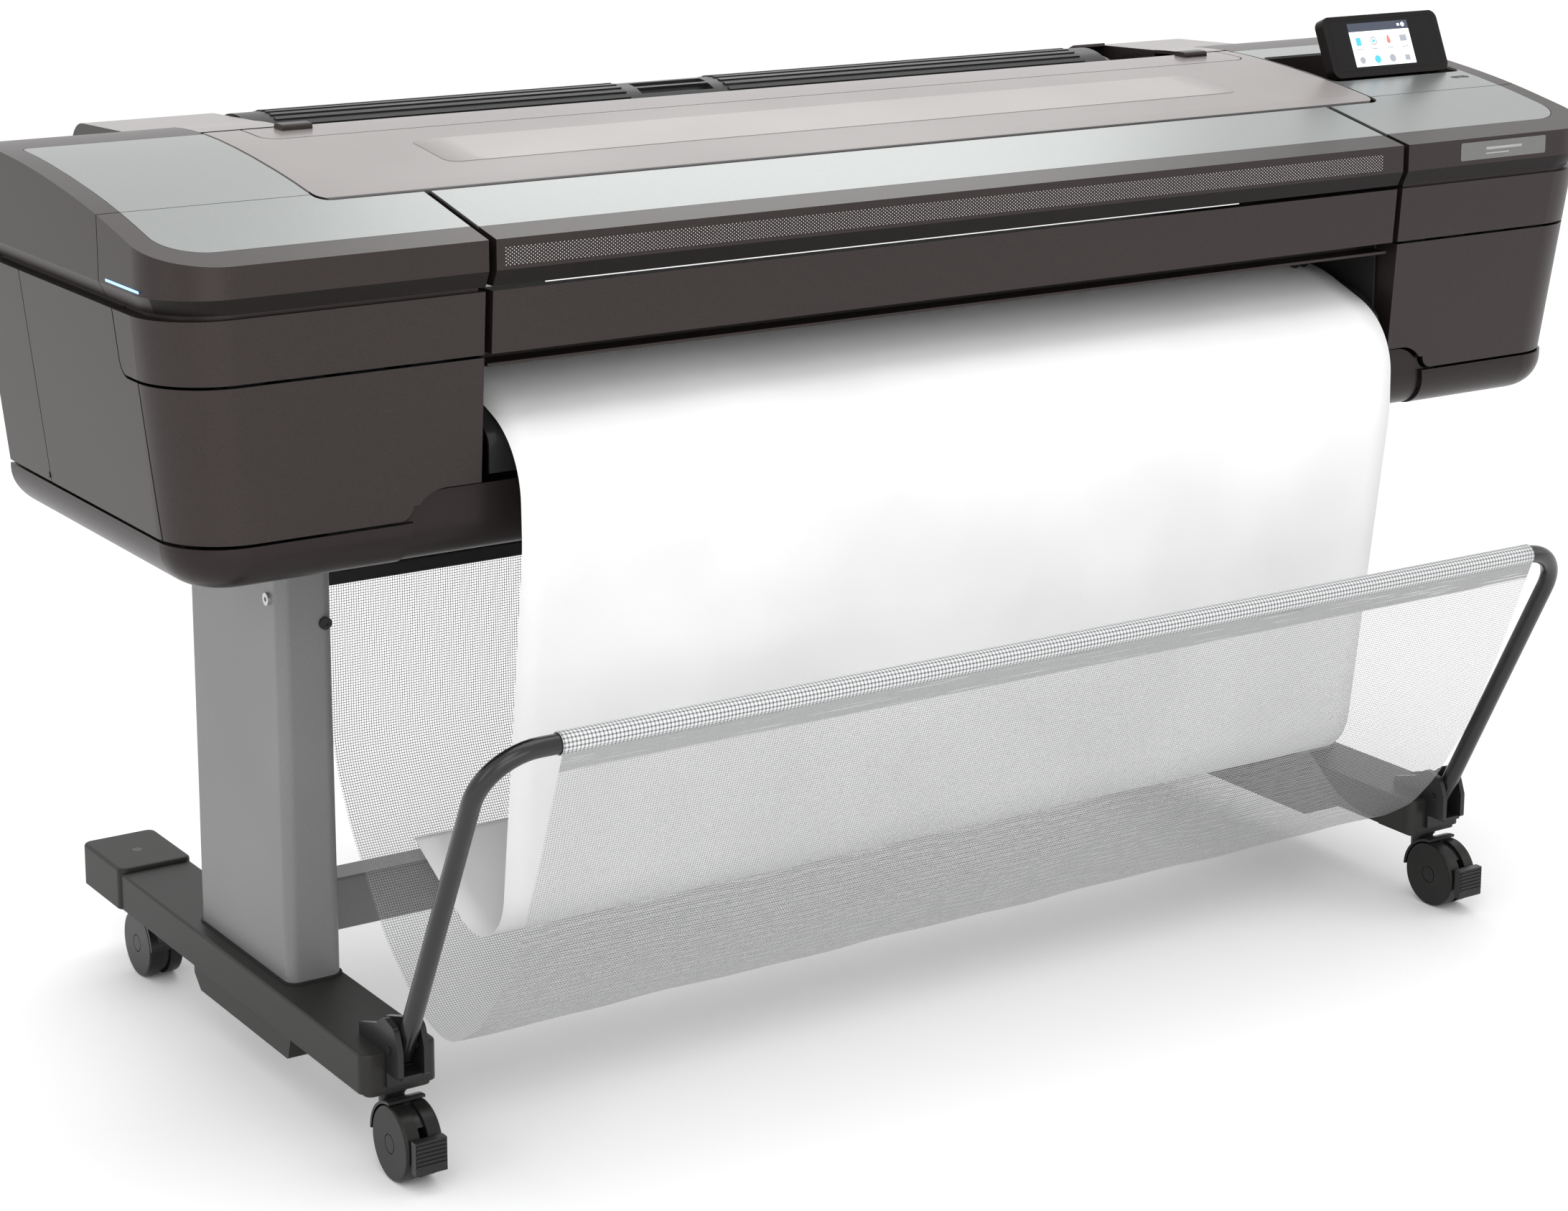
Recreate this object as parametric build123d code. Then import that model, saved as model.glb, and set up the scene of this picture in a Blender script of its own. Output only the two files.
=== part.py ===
from build123d import *
from math import atan2, cos, degrees, hypot, radians, sin
import os

# Large format plotter on a wheeled stand, in millimetres.
# Machine frame used below: X along the width, Y from the front face towards the rear,
# Z up from the floor. Every part is moved by ROW_SHIFT when it is written, so that the
# origin lies on the floor under the middle of the whole machine's box.

# ---- overall body ----
HALF_WIDTH = 901.5
BODY_DEPTH = 470.0
INNER = {-1: 574.0, 1: 593.0}      # inner side of the left and right end modules
COVER_X = (-566.0, 585.0)          # centre covers, 8 mm inside the modules
SEAM_Y = 150.0                     # cut between the front lids and the rear covers
GAP = 0.7                          # half the visible gap between neighbouring covers
WALL = 3.0
HOUSING_END_Y = 82.0               # where the front housings end on the sides
BAND_END_Y = 120.0                 # where the middle bands end on the sides
SHOULDER_Z, SHOULDER_R = 671.0, 34.0
FLARE_R = 14.0
CORNER_R = 70.0                    # front corners seen from above

# ---- heights ----
PAN_Z = 598.0
SEAM_Z = 646.0
BAND_LOW_Z = 800.0
BAND_TOP_Z = 861.5
COVER_LOW_Z = 866.0
BEVEL_TOP_Z = 882.0
BEVEL_IN = 8.0
SIDE_TAPER = 0.114                 # how far the sides come in for each mm down
FRONT_TAPER = 0.079
TOP_LINE = (                       # (y, z) points of the sloping top
    (-60, 899.0), (0, 912.0), (60, 925.0), (150, 944.5),
    (260, 961.5), (340, 970.0), (405, 973.5), (480, 971.0),
)

# ---- top openings ----
WINDOW_X = (-682.0, 669.0)
WINDOW_Y = (160.0, 405.0)
STRIP_X = (-640.0, 650.0)
STRIP_Y = (346.0, 405.0)
INLAY_T = 2.5
RIM = 23.0                         # dark rim round the pale inlays

# ---- paper path ----
PAPER_X = (-549.3, 568.3)          # 1117.6 mm wide roll
PAPER_T = 0.5
PAPER_Z = 760.6
PLATEN_TOP_Z = 760.0

# ---- roll bay ----
ROLL_Y, ROLL_Z = 540.0, 889.0
ROLL_R = 65.0
CORE_R = 38.0
COVER_R = 82.0

# ---- stand ----
FOOT_X = 683.0
FOOT_HALF = 41.0
FOOT_Z = (87.0, 128.0)
FOOT_Y = (5.0, 700.0)
COLUMN_X = 675.5                   # middle of each column
COLUMN_Y = (206.5, 430.5)
COLUMN_W = 60.0
COLUMN_R = 12.0
COLUMN_TOP_Z = 649.5
FLANGE_SCREW_Y = (238.0, 398.0)    # screws that hold the body on the columns
TENON_Z = 100.0
WHEEL_R = 38.0
TRAIL = 33.0                       # caster axle ahead of or behind its stem
FRONT_STEM_Y, REAR_STEM_Y = 26.0, 584.0

# ---- basket ----
PIVOT_Y, PIVOT_Z = -6.0, 134.0
BAR_Y, BAR_Z = -177.0, 473.0
TUBE_R = 9.75
TUBE_TAIL = 9.0                    # tube below its pivot
FABRIC_X = (-606.0, 626.0)
FABRIC_T = 1.6

ROW_SHIFT = Vector(0, -263.0, 0)


# ---------------------------------------------------------------- helpers
def block(x0, x1, y0, y1, z0, z1):
    return Pos((x0 + x1) / 2, (y0 + y1) / 2, (z0 + z1) / 2) * Box(x1 - x0, y1 - y0, z1 - z0)


def soft_block(x0, x1, y0, y1, z0, z1, radius, axis=Axis.Z):
    """A box whose edges along one axis are rounded."""
    body = block(x0, x1, y0, y1, z0, z1)
    return fillet(body.edges().filter_by(axis), radius)


def rod(p0, p1, radius):
    """A cylinder from p0 to p1."""
    start, end = Vector(*p0), Vector(*p1)
    plane = Plane(origin=start, z_dir=(end - start).normalized())
    return extrude(plane * Circle(radius), amount=(end - start).length)


def outline_face(points, radii):
    """A flat face inside a closed line, with rounded corners where radii are given."""
    if radii:
        return make_face(FilletPolyline(*points, radius=radii, close=True))
    return make_face(Polyline(*points, close=True))


def side_prism(points, x0, x1, radii=None):
    """A solid with the same outline in every YZ section, from x0 to x1."""
    placed = Plane.YZ.offset(x0) * outline_face(points, radii)
    return extrude(placed, amount=x1 - x0, dir=(1, 0, 0))


def front_prism(points, y0, y1, radii=None):
    """A solid with the same outline in every XZ section, from y0 to y1."""
    plane = Plane(origin=(0, y0, 0), x_dir=(1, 0, 0), z_dir=(0, -1, 0))
    return extrude(plane * outline_face(points, radii), amount=y1 - y0, dir=(0, 1, 0))


def strip(points, radii, x0, x1, thickness):
    """A thin sheet that follows a YZ path of straight runs and tangent arcs."""
    path = Plane.YZ.offset((x0 + x1) / 2) * FilletPolyline(*points, radius=radii)
    start = Plane(origin=path @ 0, x_dir=(1, 0, 0), z_dir=path % 0)
    return sweep(start * Rectangle(x1 - x0, thickness), path=path)


def under_top(drop, x0, x1):
    """Everything below the body's top line, lowered by drop."""
    line = Spline(*[(y, z - drop) for y, z in TOP_LINE])
    (y0, _), (y1, _) = TOP_LINE[0], TOP_LINE[-1]
    sides = Polyline(line @ 1, (y1, 500), (y0, 500), line @ 0)
    face = make_face(Curve() + [line, sides])
    return extrude(Plane.YZ.offset(x0) * face, amount=x1 - x0, dir=(1, 0, 0))


def top_slab(low, high, x0, x1):
    """The layer between two depths below the top line."""
    return under_top(high, x0, x1) - under_top(low, x0 - 1, x1 + 1)


def solids_of(*shapes):
    """A group of separate solids that share one node."""
    return Compound(children=[solid for shape in shapes for solid in shape.solids()])


# ---------------------------------------------------------------- end modules
def inset_at(z):
    """How far the side has come in at height z."""
    return (BAND_TOP_Z - z) * SIDE_TAPER


def front_at(z):
    """Where the front face of a module lies at height z."""
    return BEVEL_IN + (BAND_TOP_Z - z) * FRONT_TAPER


def module_face(side, inset, front, z, wall=0.0, rear=BODY_DEPTH):
    """Plan section of an end module with its rounded outer front corner."""
    x_out = HALF_WIDTH - inset - wall
    x_in = INNER[side] + wall
    y_front = front + wall
    y_rear = rear - wall
    middle = Pos(side * (x_out + x_in) / 2, (y_front + y_rear) / 2)
    sketch = middle * Rectangle(x_out - x_in, y_rear - y_front)
    corner = [v for v in sketch.vertices() if side * v.X > x_out - 1 and v.Y < y_front + 1]
    return Pos(0, 0, z) * fillet(corner, CORNER_R - wall)


def module_loft(side, z0, z1, wall=0.0):
    """Solid end module between two heights, with its leaning sides."""
    low = module_face(side, inset_at(z0), front_at(z0), z0, wall)
    high = module_face(side, inset_at(z1), front_at(z1), z1, wall)
    return loft([low.face(), high.face()], ruled=True)


def module_tube(side, z0, z1):
    """The walls of an end module between two heights."""
    return module_loft(side, z0, z1) - module_loft(side, z0 - 1, z1 + 1, WALL)


def in_x(side, near, far):
    """The X range between two distances from the middle on one side."""
    return tuple(sorted((side * near, side * far)))


def center_outline(gap, y0, y1):
    """The scooped centre of the underside, with its rounded shoulders, grown by gap."""
    low = [(-655 - gap, 560), (659 + gap, 560)]
    points = [low[0], (-641 - gap, SHOULDER_Z + gap), (645 + gap, SHOULDER_Z + gap), low[1]]
    return front_prism(points, y0, y1, radii=[0, SHOULDER_R + gap, SHOULDER_R + gap, 0])


def flared_outline(gap, foot_z, y0, y1):
    """The same shoulders, running out sideways at their foot in a small curve."""
    left = [(-760, 600), (-760, foot_z), (-644.5 - gap, foot_z), (-641 - gap, SHOULDER_Z + gap)]
    right = [(645 + gap, SHOULDER_Z + gap), (648.5 + gap, foot_z), (764, foot_z), (764, 600)]
    radii = [0, 0, FLARE_R, 12, 12, FLARE_R, 0, 0]
    flare = front_prism(left + right, y0, y1, radii)
    return flare & block(-668, 672, y0 - 1, y1 + 1, 590, foot_z + FLARE_R)


def front_region(side, y_side):
    """Front of an end module back to y_side, and further back along its inner wall."""
    x0, x1 = in_x(side, INNER[side] - 1, HALF_WIDTH + 1)
    inner = block(*in_x(side, INNER[side] - 1, 640), -5, SEAM_Y - 15, SEAM_Z - 1, BAND_TOP_Z + 20)
    return block(x0, x1, -5, y_side, SEAM_Z - 1, BAND_TOP_Z + 20) + inner


def band_region(side, gap):
    """Reach of the middle band along the side, with its rounded lower corner."""
    z0 = BAND_LOW_Z - 1 - gap
    outline = [(-10, z0), (BAND_END_Y + gap, z0), (BAND_END_Y + gap, 890), (-10, 890)]
    reach = side_prism(outline, *in_x(side, INNER[side] - 2, HALF_WIDTH + 2), [0, 14 + gap, 0, 0])
    return reach + block(*in_x(side, INNER[side] - 1, 640), -5, SEAM_Y - 15, z0, 890)


def gap_lip(side):
    """Inner lip that closes the view into the slot below the upper covers."""
    z0 = BAND_TOP_Z - 3
    deck = extrude(module_face(side, 0, BEVEL_IN, z0, 1.0), amount=3, dir=(0, 0, 1))
    lip = extrude(module_face(side, BEVEL_IN, BEVEL_IN, z0, 5.2), amount=10.5, dir=(0, 0, 1))
    inside = module_face(side, BEVEL_IN, BEVEL_IN, z0 - 1, 7.7)
    return (deck + lip) - extrude(inside, amount=20, dir=(0, 0, 1))


def lower_housing(side):
    """Front housing of an end module, below the middle band."""
    shell = module_tube(side, SEAM_Z, BAND_LOW_Z - 3)
    front_part = shell & front_region(side, HOUSING_END_Y)
    return front_part - center_outline(3, -5, 200) - flared_outline(3, SEAM_Z - 0.1, -5, 70)


def mid_bands():
    """The bands between the front housings and the ink lids."""
    bands = []
    for side in (-1, 1):
        shell = module_tube(side, BAND_LOW_Z, BAND_TOP_Z) + gap_lip(side)
        bands.append(shell & band_region(side, 0))
    return solids_of(*bands)


def side_panel(side):
    """Side and back wall of an end module, with its upright groove."""
    shell = module_tube(side, SEAM_Z, BAND_TOP_Z)
    x0, x1 = in_x(side, 688, HALF_WIDTH + 1)
    shell += gap_lip(side) & block(*in_x(side, 870, HALF_WIDTH), 60, 440, 850, 880)
    panel = shell & block(x0, x1, HOUSING_END_Y + 2, BODY_DEPTH + 1, SEAM_Z - 1, BAND_TOP_Z + 20)
    panel -= band_region(side, 2.0)
    groove = block(*in_x(side, 860, HALF_WIDTH + 5), 356, 357.5, SEAM_Z - 1, BAND_TOP_Z + 1)
    kept = module_loft(side, SEAM_Z - 1, BAND_TOP_Z + 1, 1.2)
    kept += block(*in_x(side, 860, HALF_WIDTH - 1.4), 350, 360, BAND_TOP_Z - 3, BAND_TOP_Z + 20)
    return panel - (groove - kept)


def side_panels():
    return solids_of(side_panel(-1), side_panel(1))


def cover_form(side, wall=0.0):
    """The upper band of an end module with its bevelled foot and sloping top."""
    low = module_face(side, BEVEL_IN, BEVEL_IN, COVER_LOW_Z - wall / 3, wall)
    mid = module_face(side, 0, 0, BEVEL_TOP_Z, wall)
    form = loft([low.face(), mid.face()], ruled=True) + extrude(mid, amount=120, dir=(0, 0, 1))
    top_wall = wall + INLAY_T if wall else 0.0
    return form & under_top(top_wall, *in_x(side, INNER[side] - 5, HALF_WIDTH + 5))


def cover_shell(side):
    return cover_form(side) - cover_form(side, WALL)


def window_well(side, gap):
    """What the window and its front bar take out of the covers, with a rounded pocket."""
    edge = WINDOW_X[0] if side < 0 else WINDOW_X[1]
    x0, x1 = sorted((side * 500.0, edge + side * gap))
    return soft_block(x0, x1, 134.0 - gap, 500, 800, 1000, 16)


def lid_inlay_form(side, shrink):
    """Outline of the pale front inlay on a lid."""
    x0, x1 = in_x(side, INNER[side] - 5, HALF_WIDTH - RIM - shrink)
    y0, y1 = 36 + shrink, SEAM_Y + 20
    body = block(x0, x1, y0, y1, 850, 1000)
    upright = body.edges().filter_by(Axis.Z)
    corner = [e for e in upright if side * e.center().X > 700 and e.center().Y < 60]
    return fillet(corner, CORNER_R - RIM)


def lid_region(side):
    """Front part of a module's top, as far as the seam."""
    return block(*in_x(side, INNER[side] - 1, HALF_WIDTH + 1), -5, SEAM_Y - GAP, 850, 1000)


def ink_lid(side):
    """Hinged front lid over the ink cartridges, with the pocket for its inlay."""
    lid = (cover_shell(side) & lid_region(side)) - window_well(side, 3.0)
    pocket = lid_inlay_form(side, 0) - under_top(INLAY_T, *in_x(side, 500, 910))
    return lid - pocket


def lid_inlay(side):
    """Pale plate let into an ink lid."""
    form = lid_inlay_form(side, 0.6) & top_slab(INLAY_T, 0.0, *in_x(side, INNER[side], 910))
    return (form & lid_region(side)) - window_well(side, 3.0)


def rear_inlay_form(side, shrink):
    """Outline of the pale inlay on a rear cover."""
    edge = abs(WINDOW_X[0] if side < 0 else WINDOW_X[1])
    x0, x1 = in_x(side, edge - 10, HALF_WIDTH - RIM - shrink)
    body = block(x0, x1, SEAM_Y - 5, 398 - shrink, 850, 1000)
    upright = body.edges().filter_by(Axis.Z)
    corner = [e for e in upright if side * e.center().X > 700 and e.center().Y > 390]
    return fillet(corner, 9)


# ---------------------------------------------------------------- control panel place
PANEL_X = (682.0, 866.0)
PANEL_H, PANEL_T = 76.0, 14.0
PANEL_LEAN = 23.5
PANEL_FOOT = (222.0, 957.0)
TILT_Y, TILT_Z = 238.0, 946.0
BUTTON_X, BUTTON_Y = 853.0, 191.0


def recess_form(grow):
    """Hollow under the control panel, grown by grow."""
    return soft_block(674 - grow, 875 + grow, 214 - grow, 345 + grow, 934 - grow, 1000, 9 + grow)


def tilt_post(x):
    """Round-topped post that carries one end of the panel's tilt axle."""
    post = block(x, x + 12, TILT_Y - 5, TILT_Y + 5, 931, TILT_Z)
    return post + rod((x, TILT_Y, TILT_Z), (x + 12, TILT_Y, TILT_Z), 5)


def rear_cover(side):
    """Fixed cover behind an ink lid; the right one carries the control panel and button."""
    region = block(*in_x(side, 560, HALF_WIDTH + 1), SEAM_Y + GAP, BODY_DEPTH + 1, 850, 1000)
    cover = (cover_shell(side) & region) - window_well(side, 3.0)
    edge = abs(WINDOW_X[0] if side < 0 else WINDOW_X[1]) + 3
    closing = block(*in_x(side, edge, edge + WALL), SEAM_Y + 3, BODY_DEPTH, 920, 1000)
    cover += closing & under_top(0, *in_x(side, 500, 910))
    if side > 0:
        cover += recess_form(3.5) & under_top(0, 560, 910) & block(edge, 890, 200, 360, 900, 1000)
        cover -= recess_form(0)
        cover += tilt_post(700) + tilt_post(836)
        cover -= rod((690, TILT_Y, TILT_Z), (860, TILT_Y, TILT_Z), 2.56)
        cover += button_seat(3.0, 935)
        cover -= button_seat(0.0, 938)
    pocket = rear_inlay_form(side, 0) - under_top(INLAY_T, *in_x(side, 500, 910))
    return cover - pocket


def button_seat(grow, z0):
    """Slot shaped seat of the power button, grown by grow."""
    outline = Pos(BUTTON_X, BUTTON_Y, z0) * SlotOverall(27 + 2 * grow, 9 + 2 * grow)
    return extrude(outline, amount=20, dir=(0, 0, 1)) & under_top(INLAY_T, 560, 910)


def rear_inlays():
    """Pale plates let into the rear covers."""
    parts = []
    for side in (-1, 1):
        inlay = rear_inlay_form(side, 0.6) & top_slab(INLAY_T, 0.0, *in_x(side, 500, 910))
        region = block(*in_x(side, 560, HALF_WIDTH), SEAM_Y + GAP, BODY_DEPTH, 850, 1000)
        inlay = (inlay & region) - window_well(side, 3.0)
        if side > 0:
            inlay -= recess_form(1.5)
            hole = Pos(BUTTON_X, BUTTON_Y, 900) * SlotOverall(27, 9)
            inlay -= extrude(hole, amount=100, dir=(0, 0, 1))
        parts.append(inlay)
    return solids_of(*parts)


# ---------------------------------------------------------------- centre covers
TRIMMER_END_Y = 131.0


def trimmer_block(wall, x_in):
    """Full width front cover with the bevelled foot, or its hollow when wall is given."""
    foot_z = COVER_LOW_Z - wall / 3
    rear_y = TRIMMER_END_Y - wall * 0.3
    outline = [(BEVEL_IN + wall, foot_z), (wall, BEVEL_TOP_Z), (wall, 990), (rear_y, 990), (rear_y, foot_z)]
    body = side_prism(outline, COVER_X[0] + x_in, COVER_X[1] - x_in)
    return body & under_top(wall + (INLAY_T if wall else 0), COVER_X[0] - 1, COVER_X[1] + 1)


def trimmer_cover():
    """Front cover that lifts to reach the trimmer."""
    open_rear = block(COVER_X[0] + WALL, COVER_X[1] - WALL, 60, 140, 800, 928)
    cover = trimmer_block(0, 0) - trimmer_block(WALL, WALL) - open_rear
    pocket = block(COVER_X[0] - 1, COVER_X[1] + 1, 34, 140, 850, 1000)
    return cover - (pocket - under_top(INLAY_T, COVER_X[0] - 2, COVER_X[1] + 2))


def trimmer_inlay():
    """Pale plate on the front cover."""
    form = block(COVER_X[0], COVER_X[1], 34.6, TRIMMER_END_Y, 850, 1000)
    return form & top_slab(INLAY_T, 0.0, COVER_X[0], COVER_X[1])


def front_fascia():
    """Flat panel under the front cover, with end walls and the recessed lip over the paper."""
    y_top, y_low = front_at(BAND_TOP_Z), front_at(BAND_LOW_Z)
    outline = [
        (y_top, BAND_TOP_Z), (y_top + 22, BAND_TOP_Z),
        (y_top + 22, BAND_TOP_Z - 3), (y_top + 3, BAND_TOP_Z - 3),
        (y_low + 3, BAND_LOW_Z + 3), (52, BAND_LOW_Z + 3),
        (52, 786), (22, 786), (22, 789), (49, 789),
        (49, BAND_LOW_Z), (y_low, BAND_LOW_Z),
    ]
    panel = side_prism(outline, *COVER_X)
    for x in (COVER_X[0], COVER_X[1] - WALL):
        panel += block(x, x + WALL, y_low + 2, 44, BAND_LOW_Z + 1, BAND_TOP_Z - 1)
    return panel


def center_panel():
    """Smooth scooped panel below the paper outlet."""
    outline = [
        (30, 690), (30, PAN_Z), (199, PAN_Z),
        (199, PAN_Z + WALL), (33, PAN_Z + WALL), (33, 690),
    ]
    shell = side_prism(outline, -700, 700, [0, 40, 0, 0, 37, 0])
    flare = flared_outline(0, SEAM_Z - 1.8, 0, 60)
    flare &= block(-700, 700, 0, 60, SEAM_Z - 2.4, SEAM_Z + FLARE_R)
    return shell & (center_outline(0, 0, 400) + flare)


def bottom_pan():
    """Rounded tray that closes the underside at both ends and behind the scoop."""
    def bowl(wall):
        x_out = HALF_WIDTH - inset_at(SEAM_Z) - wall
        y_front = front_at(SEAM_Z) + wall
        y_rear = BODY_DEPTH - wall
        sketch = Pos(0, (y_front + y_rear) / 2) * Rectangle(2 * x_out, y_rear - y_front)
        front_corners = [v for v in sketch.vertices() if v.Y < y_front + 1]
        sketch = fillet(front_corners, CORNER_R - 6 - wall)
        top = SEAM_Z - 3 + (1 if wall else 0)
        body = extrude(Pos(0, 0, PAN_Z + wall) * sketch, amount=top - PAN_Z - wall, dir=(0, 0, 1))
        lowest = body.faces().sort_by(Axis.Z)[0].edges()
        return fillet(lowest, 40 - wall)
    pan = bowl(0) - bowl(WALL)
    pan -= center_outline(1.5, -5, 200.5)
    for side in (-1, 1):
        pan -= column_form(side, 1.5, PAN_Z - 5, PAN_Z + 10)
    pan -= block(-560, 580, 205, 440, PAN_Z - 1, PAN_Z + 1)
    return pan


# ---------------------------------------------------------------- window and rear
def window_form(grow):
    """Outline of the top window, grown by grow at both ends."""
    x0, x1 = WINDOW_X
    return block(x0 - grow, x1 + grow, 157, WINDOW_Y[1], 850, 1000)


def strip_form(grow):
    """Outline of the strip behind the window, grown by grow."""
    body = block(STRIP_X[0] - grow, STRIP_X[1] + grow, STRIP_Y[0] - grow, 415, 850, 1000)
    corners = [e for e in body.edges().filter_by(Axis.Z) if e.center().Y < 400]
    return fillet(corners, 18 + grow)


def window_cover():
    """Smoked top window with its round front bar."""
    sheet = window_form(0) & top_slab(4.0, 0.0, WINDOW_X[0], WINDOW_X[1])
    sheet -= strip_form(2.0)
    bar_outline = [(136, 930), (136, 941.5), (159, 946.4), (159, 930)]
    bar = side_prism(bar_outline, WINDOW_X[0], WINDOW_X[1], [6, 6, 0, 6])
    bar &= soft_block(WINDOW_X[0], WINDOW_X[1], 135, 185, 900, 1000, 20)
    return sheet + bar


def rear_strip():
    """Fixed strip behind the window, with two hinge caps."""
    body = strip_form(0) & block(-700, 700, 300, STRIP_Y[1], 850, 1000)
    body &= top_slab(9.0, 0.0, -700, 700)
    for x in (-589.0, 600.0):
        body += soft_block(x - 17, x + 17, 381, 401, 966, 979, 4, Axis.X)
    return body


def ring_sector(outer, inner, start, stop, x0, x1):
    """Part of a tube about the roll axis. Angles in degrees from the rear, rising over the top."""
    def at(radius, angle):
        return (ROLL_Y + radius * cos(radians(angle)), ROLL_Z + radius * sin(radians(angle)))
    middle = (start + stop) / 2
    outer_arc = ThreePointArc(at(outer, start), at(outer, middle), at(outer, stop))
    inner_arc = ThreePointArc(at(inner, start), at(inner, middle), at(inner, stop))
    ends = [Line(at(outer, start), at(inner, start)), Line(at(outer, stop), at(inner, stop))]
    face = make_face(Curve() + [outer_arc, inner_arc] + ends)
    return extrude(Plane.YZ.offset(x0) * face, amount=x1 - x0, dir=(1, 0, 0))


ROLL_COVER_X = (-588.0, 557.0)
COVER_PIVOT = (623.0, 887.0)
HANDLE_X = (-105.0, -10.0)


def roll_cover():
    """Ribbed cover over the roll, with a recessed grip in the middle."""
    x0, x1 = ROLL_COVER_X
    cover = ring_sector(COVER_R, COVER_R - 3, 0, 150, x0, x1)
    for span in ((x0 + 34, HANDLE_X[0] - 18), (HANDLE_X[1] + 18, x1 - 34)):
        for angle in range(20, 136, 8):
            cover += ring_sector(COVER_R + 1.6, COVER_R - 1, angle, angle + 4, *span)
    cover -= ring_sector(COVER_R + 5, COVER_R - 10, 92, 116, *HANDLE_X)
    cover += ring_sector(COVER_R, COVER_R - 3, 102.5, 105.5, *HANDLE_X)
    tray = ring_sector(COVER_R - 3, COVER_R - 12, 88, 120, HANDLE_X[0] - 3, HANDLE_X[1] + 3)
    tray -= ring_sector(COVER_R, COVER_R - 9, 92, 116, *HANDLE_X)
    cover += tray
    cover += rod((x0, *COVER_PIVOT), (x1, *COVER_PIVOT), 4.0)
    cover += rod((ARM_X[-1][1] - 2.5, *COVER_PIVOT), (ARM_X[1][0] + 2.5, *COVER_PIVOT), 3.0)
    return cover


ARM_X = {-1: (-741.0, -592.0), 1: (612.0, 741.0)}


def inner_wall_of(side, y0, y1):
    """Space of the arm's inner wall, where the bearings are cut."""
    x0, x1 = ARM_X[side]
    near = (x1 - 4, x1 + 1) if side < 0 else (x0 - 1, x0 + 4)
    return block(*near, y0, y1, 860, 920)


def roll_arm(side):
    """End housing that carries one end of the spindle."""
    x0, x1 = ARM_X[side]
    outline = [(474, 694), (474, 971.2), (606, 966.5), (628, 905), (628, 694)]
    body = side_prism(outline, x0, x1, [0, 2, 34, 30, 20])
    hollow = [(477, 690), (477, 968), (604, 963.5), (625, 904), (625, 690)]
    body -= side_prism(hollow, x0 + WALL, x1 - WALL, [0, 1, 31, 27, 0])
    edge = WINDOW_X[0] - 3 if side < 0 else WINDOW_X[1] + 3
    near = sorted((edge - side * 1.0, ARM_X[side][1] if side < 0 else ARM_X[side][0]))
    ledge = block(near[0], near[1], 411, 475, 900, 1000) & top_slab(4.0, 0.0, -760, 760)
    skirt = block(near[0], near[1], 411, 414, 905, 972) & under_top(0, -760, 760)
    body += ledge + skirt
    bearing = rod((x0 - 5, ROLL_Y, ROLL_Z), (x1 + 5, ROLL_Y, ROLL_Z), 12.06)
    inner_wall = inner_wall_of(side, 500, 580)
    body -= bearing & inner_wall
    pin = rod((x0 - 1, *COVER_PIVOT), (x1 + 1, *COVER_PIVOT), 3.06)
    return body - (pin & inner_wall_of(side, 610, 640))


def roll_housing():
    """Both roll arms and the trough that hangs between them."""
    trough = ring_sector(88, 84.5, -112, -7, ARM_X[-1][1] + 0.2, ARM_X[1][0] - 0.2)
    trough += ring_sector(88, 84.5, -8, -5, ROLL_COVER_X[1] + 5, ARM_X[1][0] - 0.2)
    trough += ring_sector(88, 84.5, 5, 68, ROLL_COVER_X[1] + 5, ARM_X[1][0] - 0.2)
    trough += ring_sector(88, 87, -8, 6, ROLL_COVER_X[1] + 5, ARM_X[1][0] - 0.2)
    web = block(ARM_X[-1][1] + 0.2, ARM_X[1][0] - 0.2, 503, 509, 694, 812)
    keep = rod((-700, ROLL_Y, ROLL_Z), (700, ROLL_Y, ROLL_Z), 84.5)
    return solids_of(roll_arm(-1), roll_arm(1), trough + (web - keep))


def rear_panel():
    """Back plate below the roll trough, with its ventilation slots."""
    panel = block(-685, 685, BODY_DEPTH - 4, BODY_DEPTH, SEAM_Z + 2, 690)
    shelf = block(-585, 605, BODY_DEPTH - 4, 500, 690, 693.5)
    panel += block(-585, 605, BODY_DEPTH - 4, BODY_DEPTH, 688, 693.5) + shelf
    for index in range(24):
        x = -300 + index * 12
        panel -= block(x, x + 5, BODY_DEPTH - 5, BODY_DEPTH + 1, 656, 682)
    panel -= block(-531, -449, BODY_DEPTH - 5, BODY_DEPTH + 1, 652, 686)
    return panel


def rear_ports():
    """Mains inlet and network socket in the back plate."""
    inlet = soft_block(-530.5, -480, BODY_DEPTH - 24, BODY_DEPTH + 2, 653, 685, 4, Axis.Y)
    inlet -= soft_block(-523, -488, BODY_DEPTH - 14, BODY_DEPTH + 3, 659, 679, 3, Axis.Y)
    for x, z in ((-513, 669), (-498, 669), (-505.5, 665)):
        inlet += block(x - 1, x + 1, BODY_DEPTH - 15, BODY_DEPTH - 2, z - 2, z + 2)
    socket = block(-474, -449.5, BODY_DEPTH - 20, BODY_DEPTH + 1, 655, 681)
    socket -= block(-469, -455, BODY_DEPTH - 14, BODY_DEPTH + 2, 661, 673)
    return solids_of(inlet, socket)


# ---------------------------------------------------------------- frame and mechanism
PLATE_X = (-572.0, 588.0)
PLATE_T = 3.0
RAIL_END_X = (-700.0, 733.0)
BASE_TOP_Z = 652.0                 # top of the frame's base plate


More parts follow.
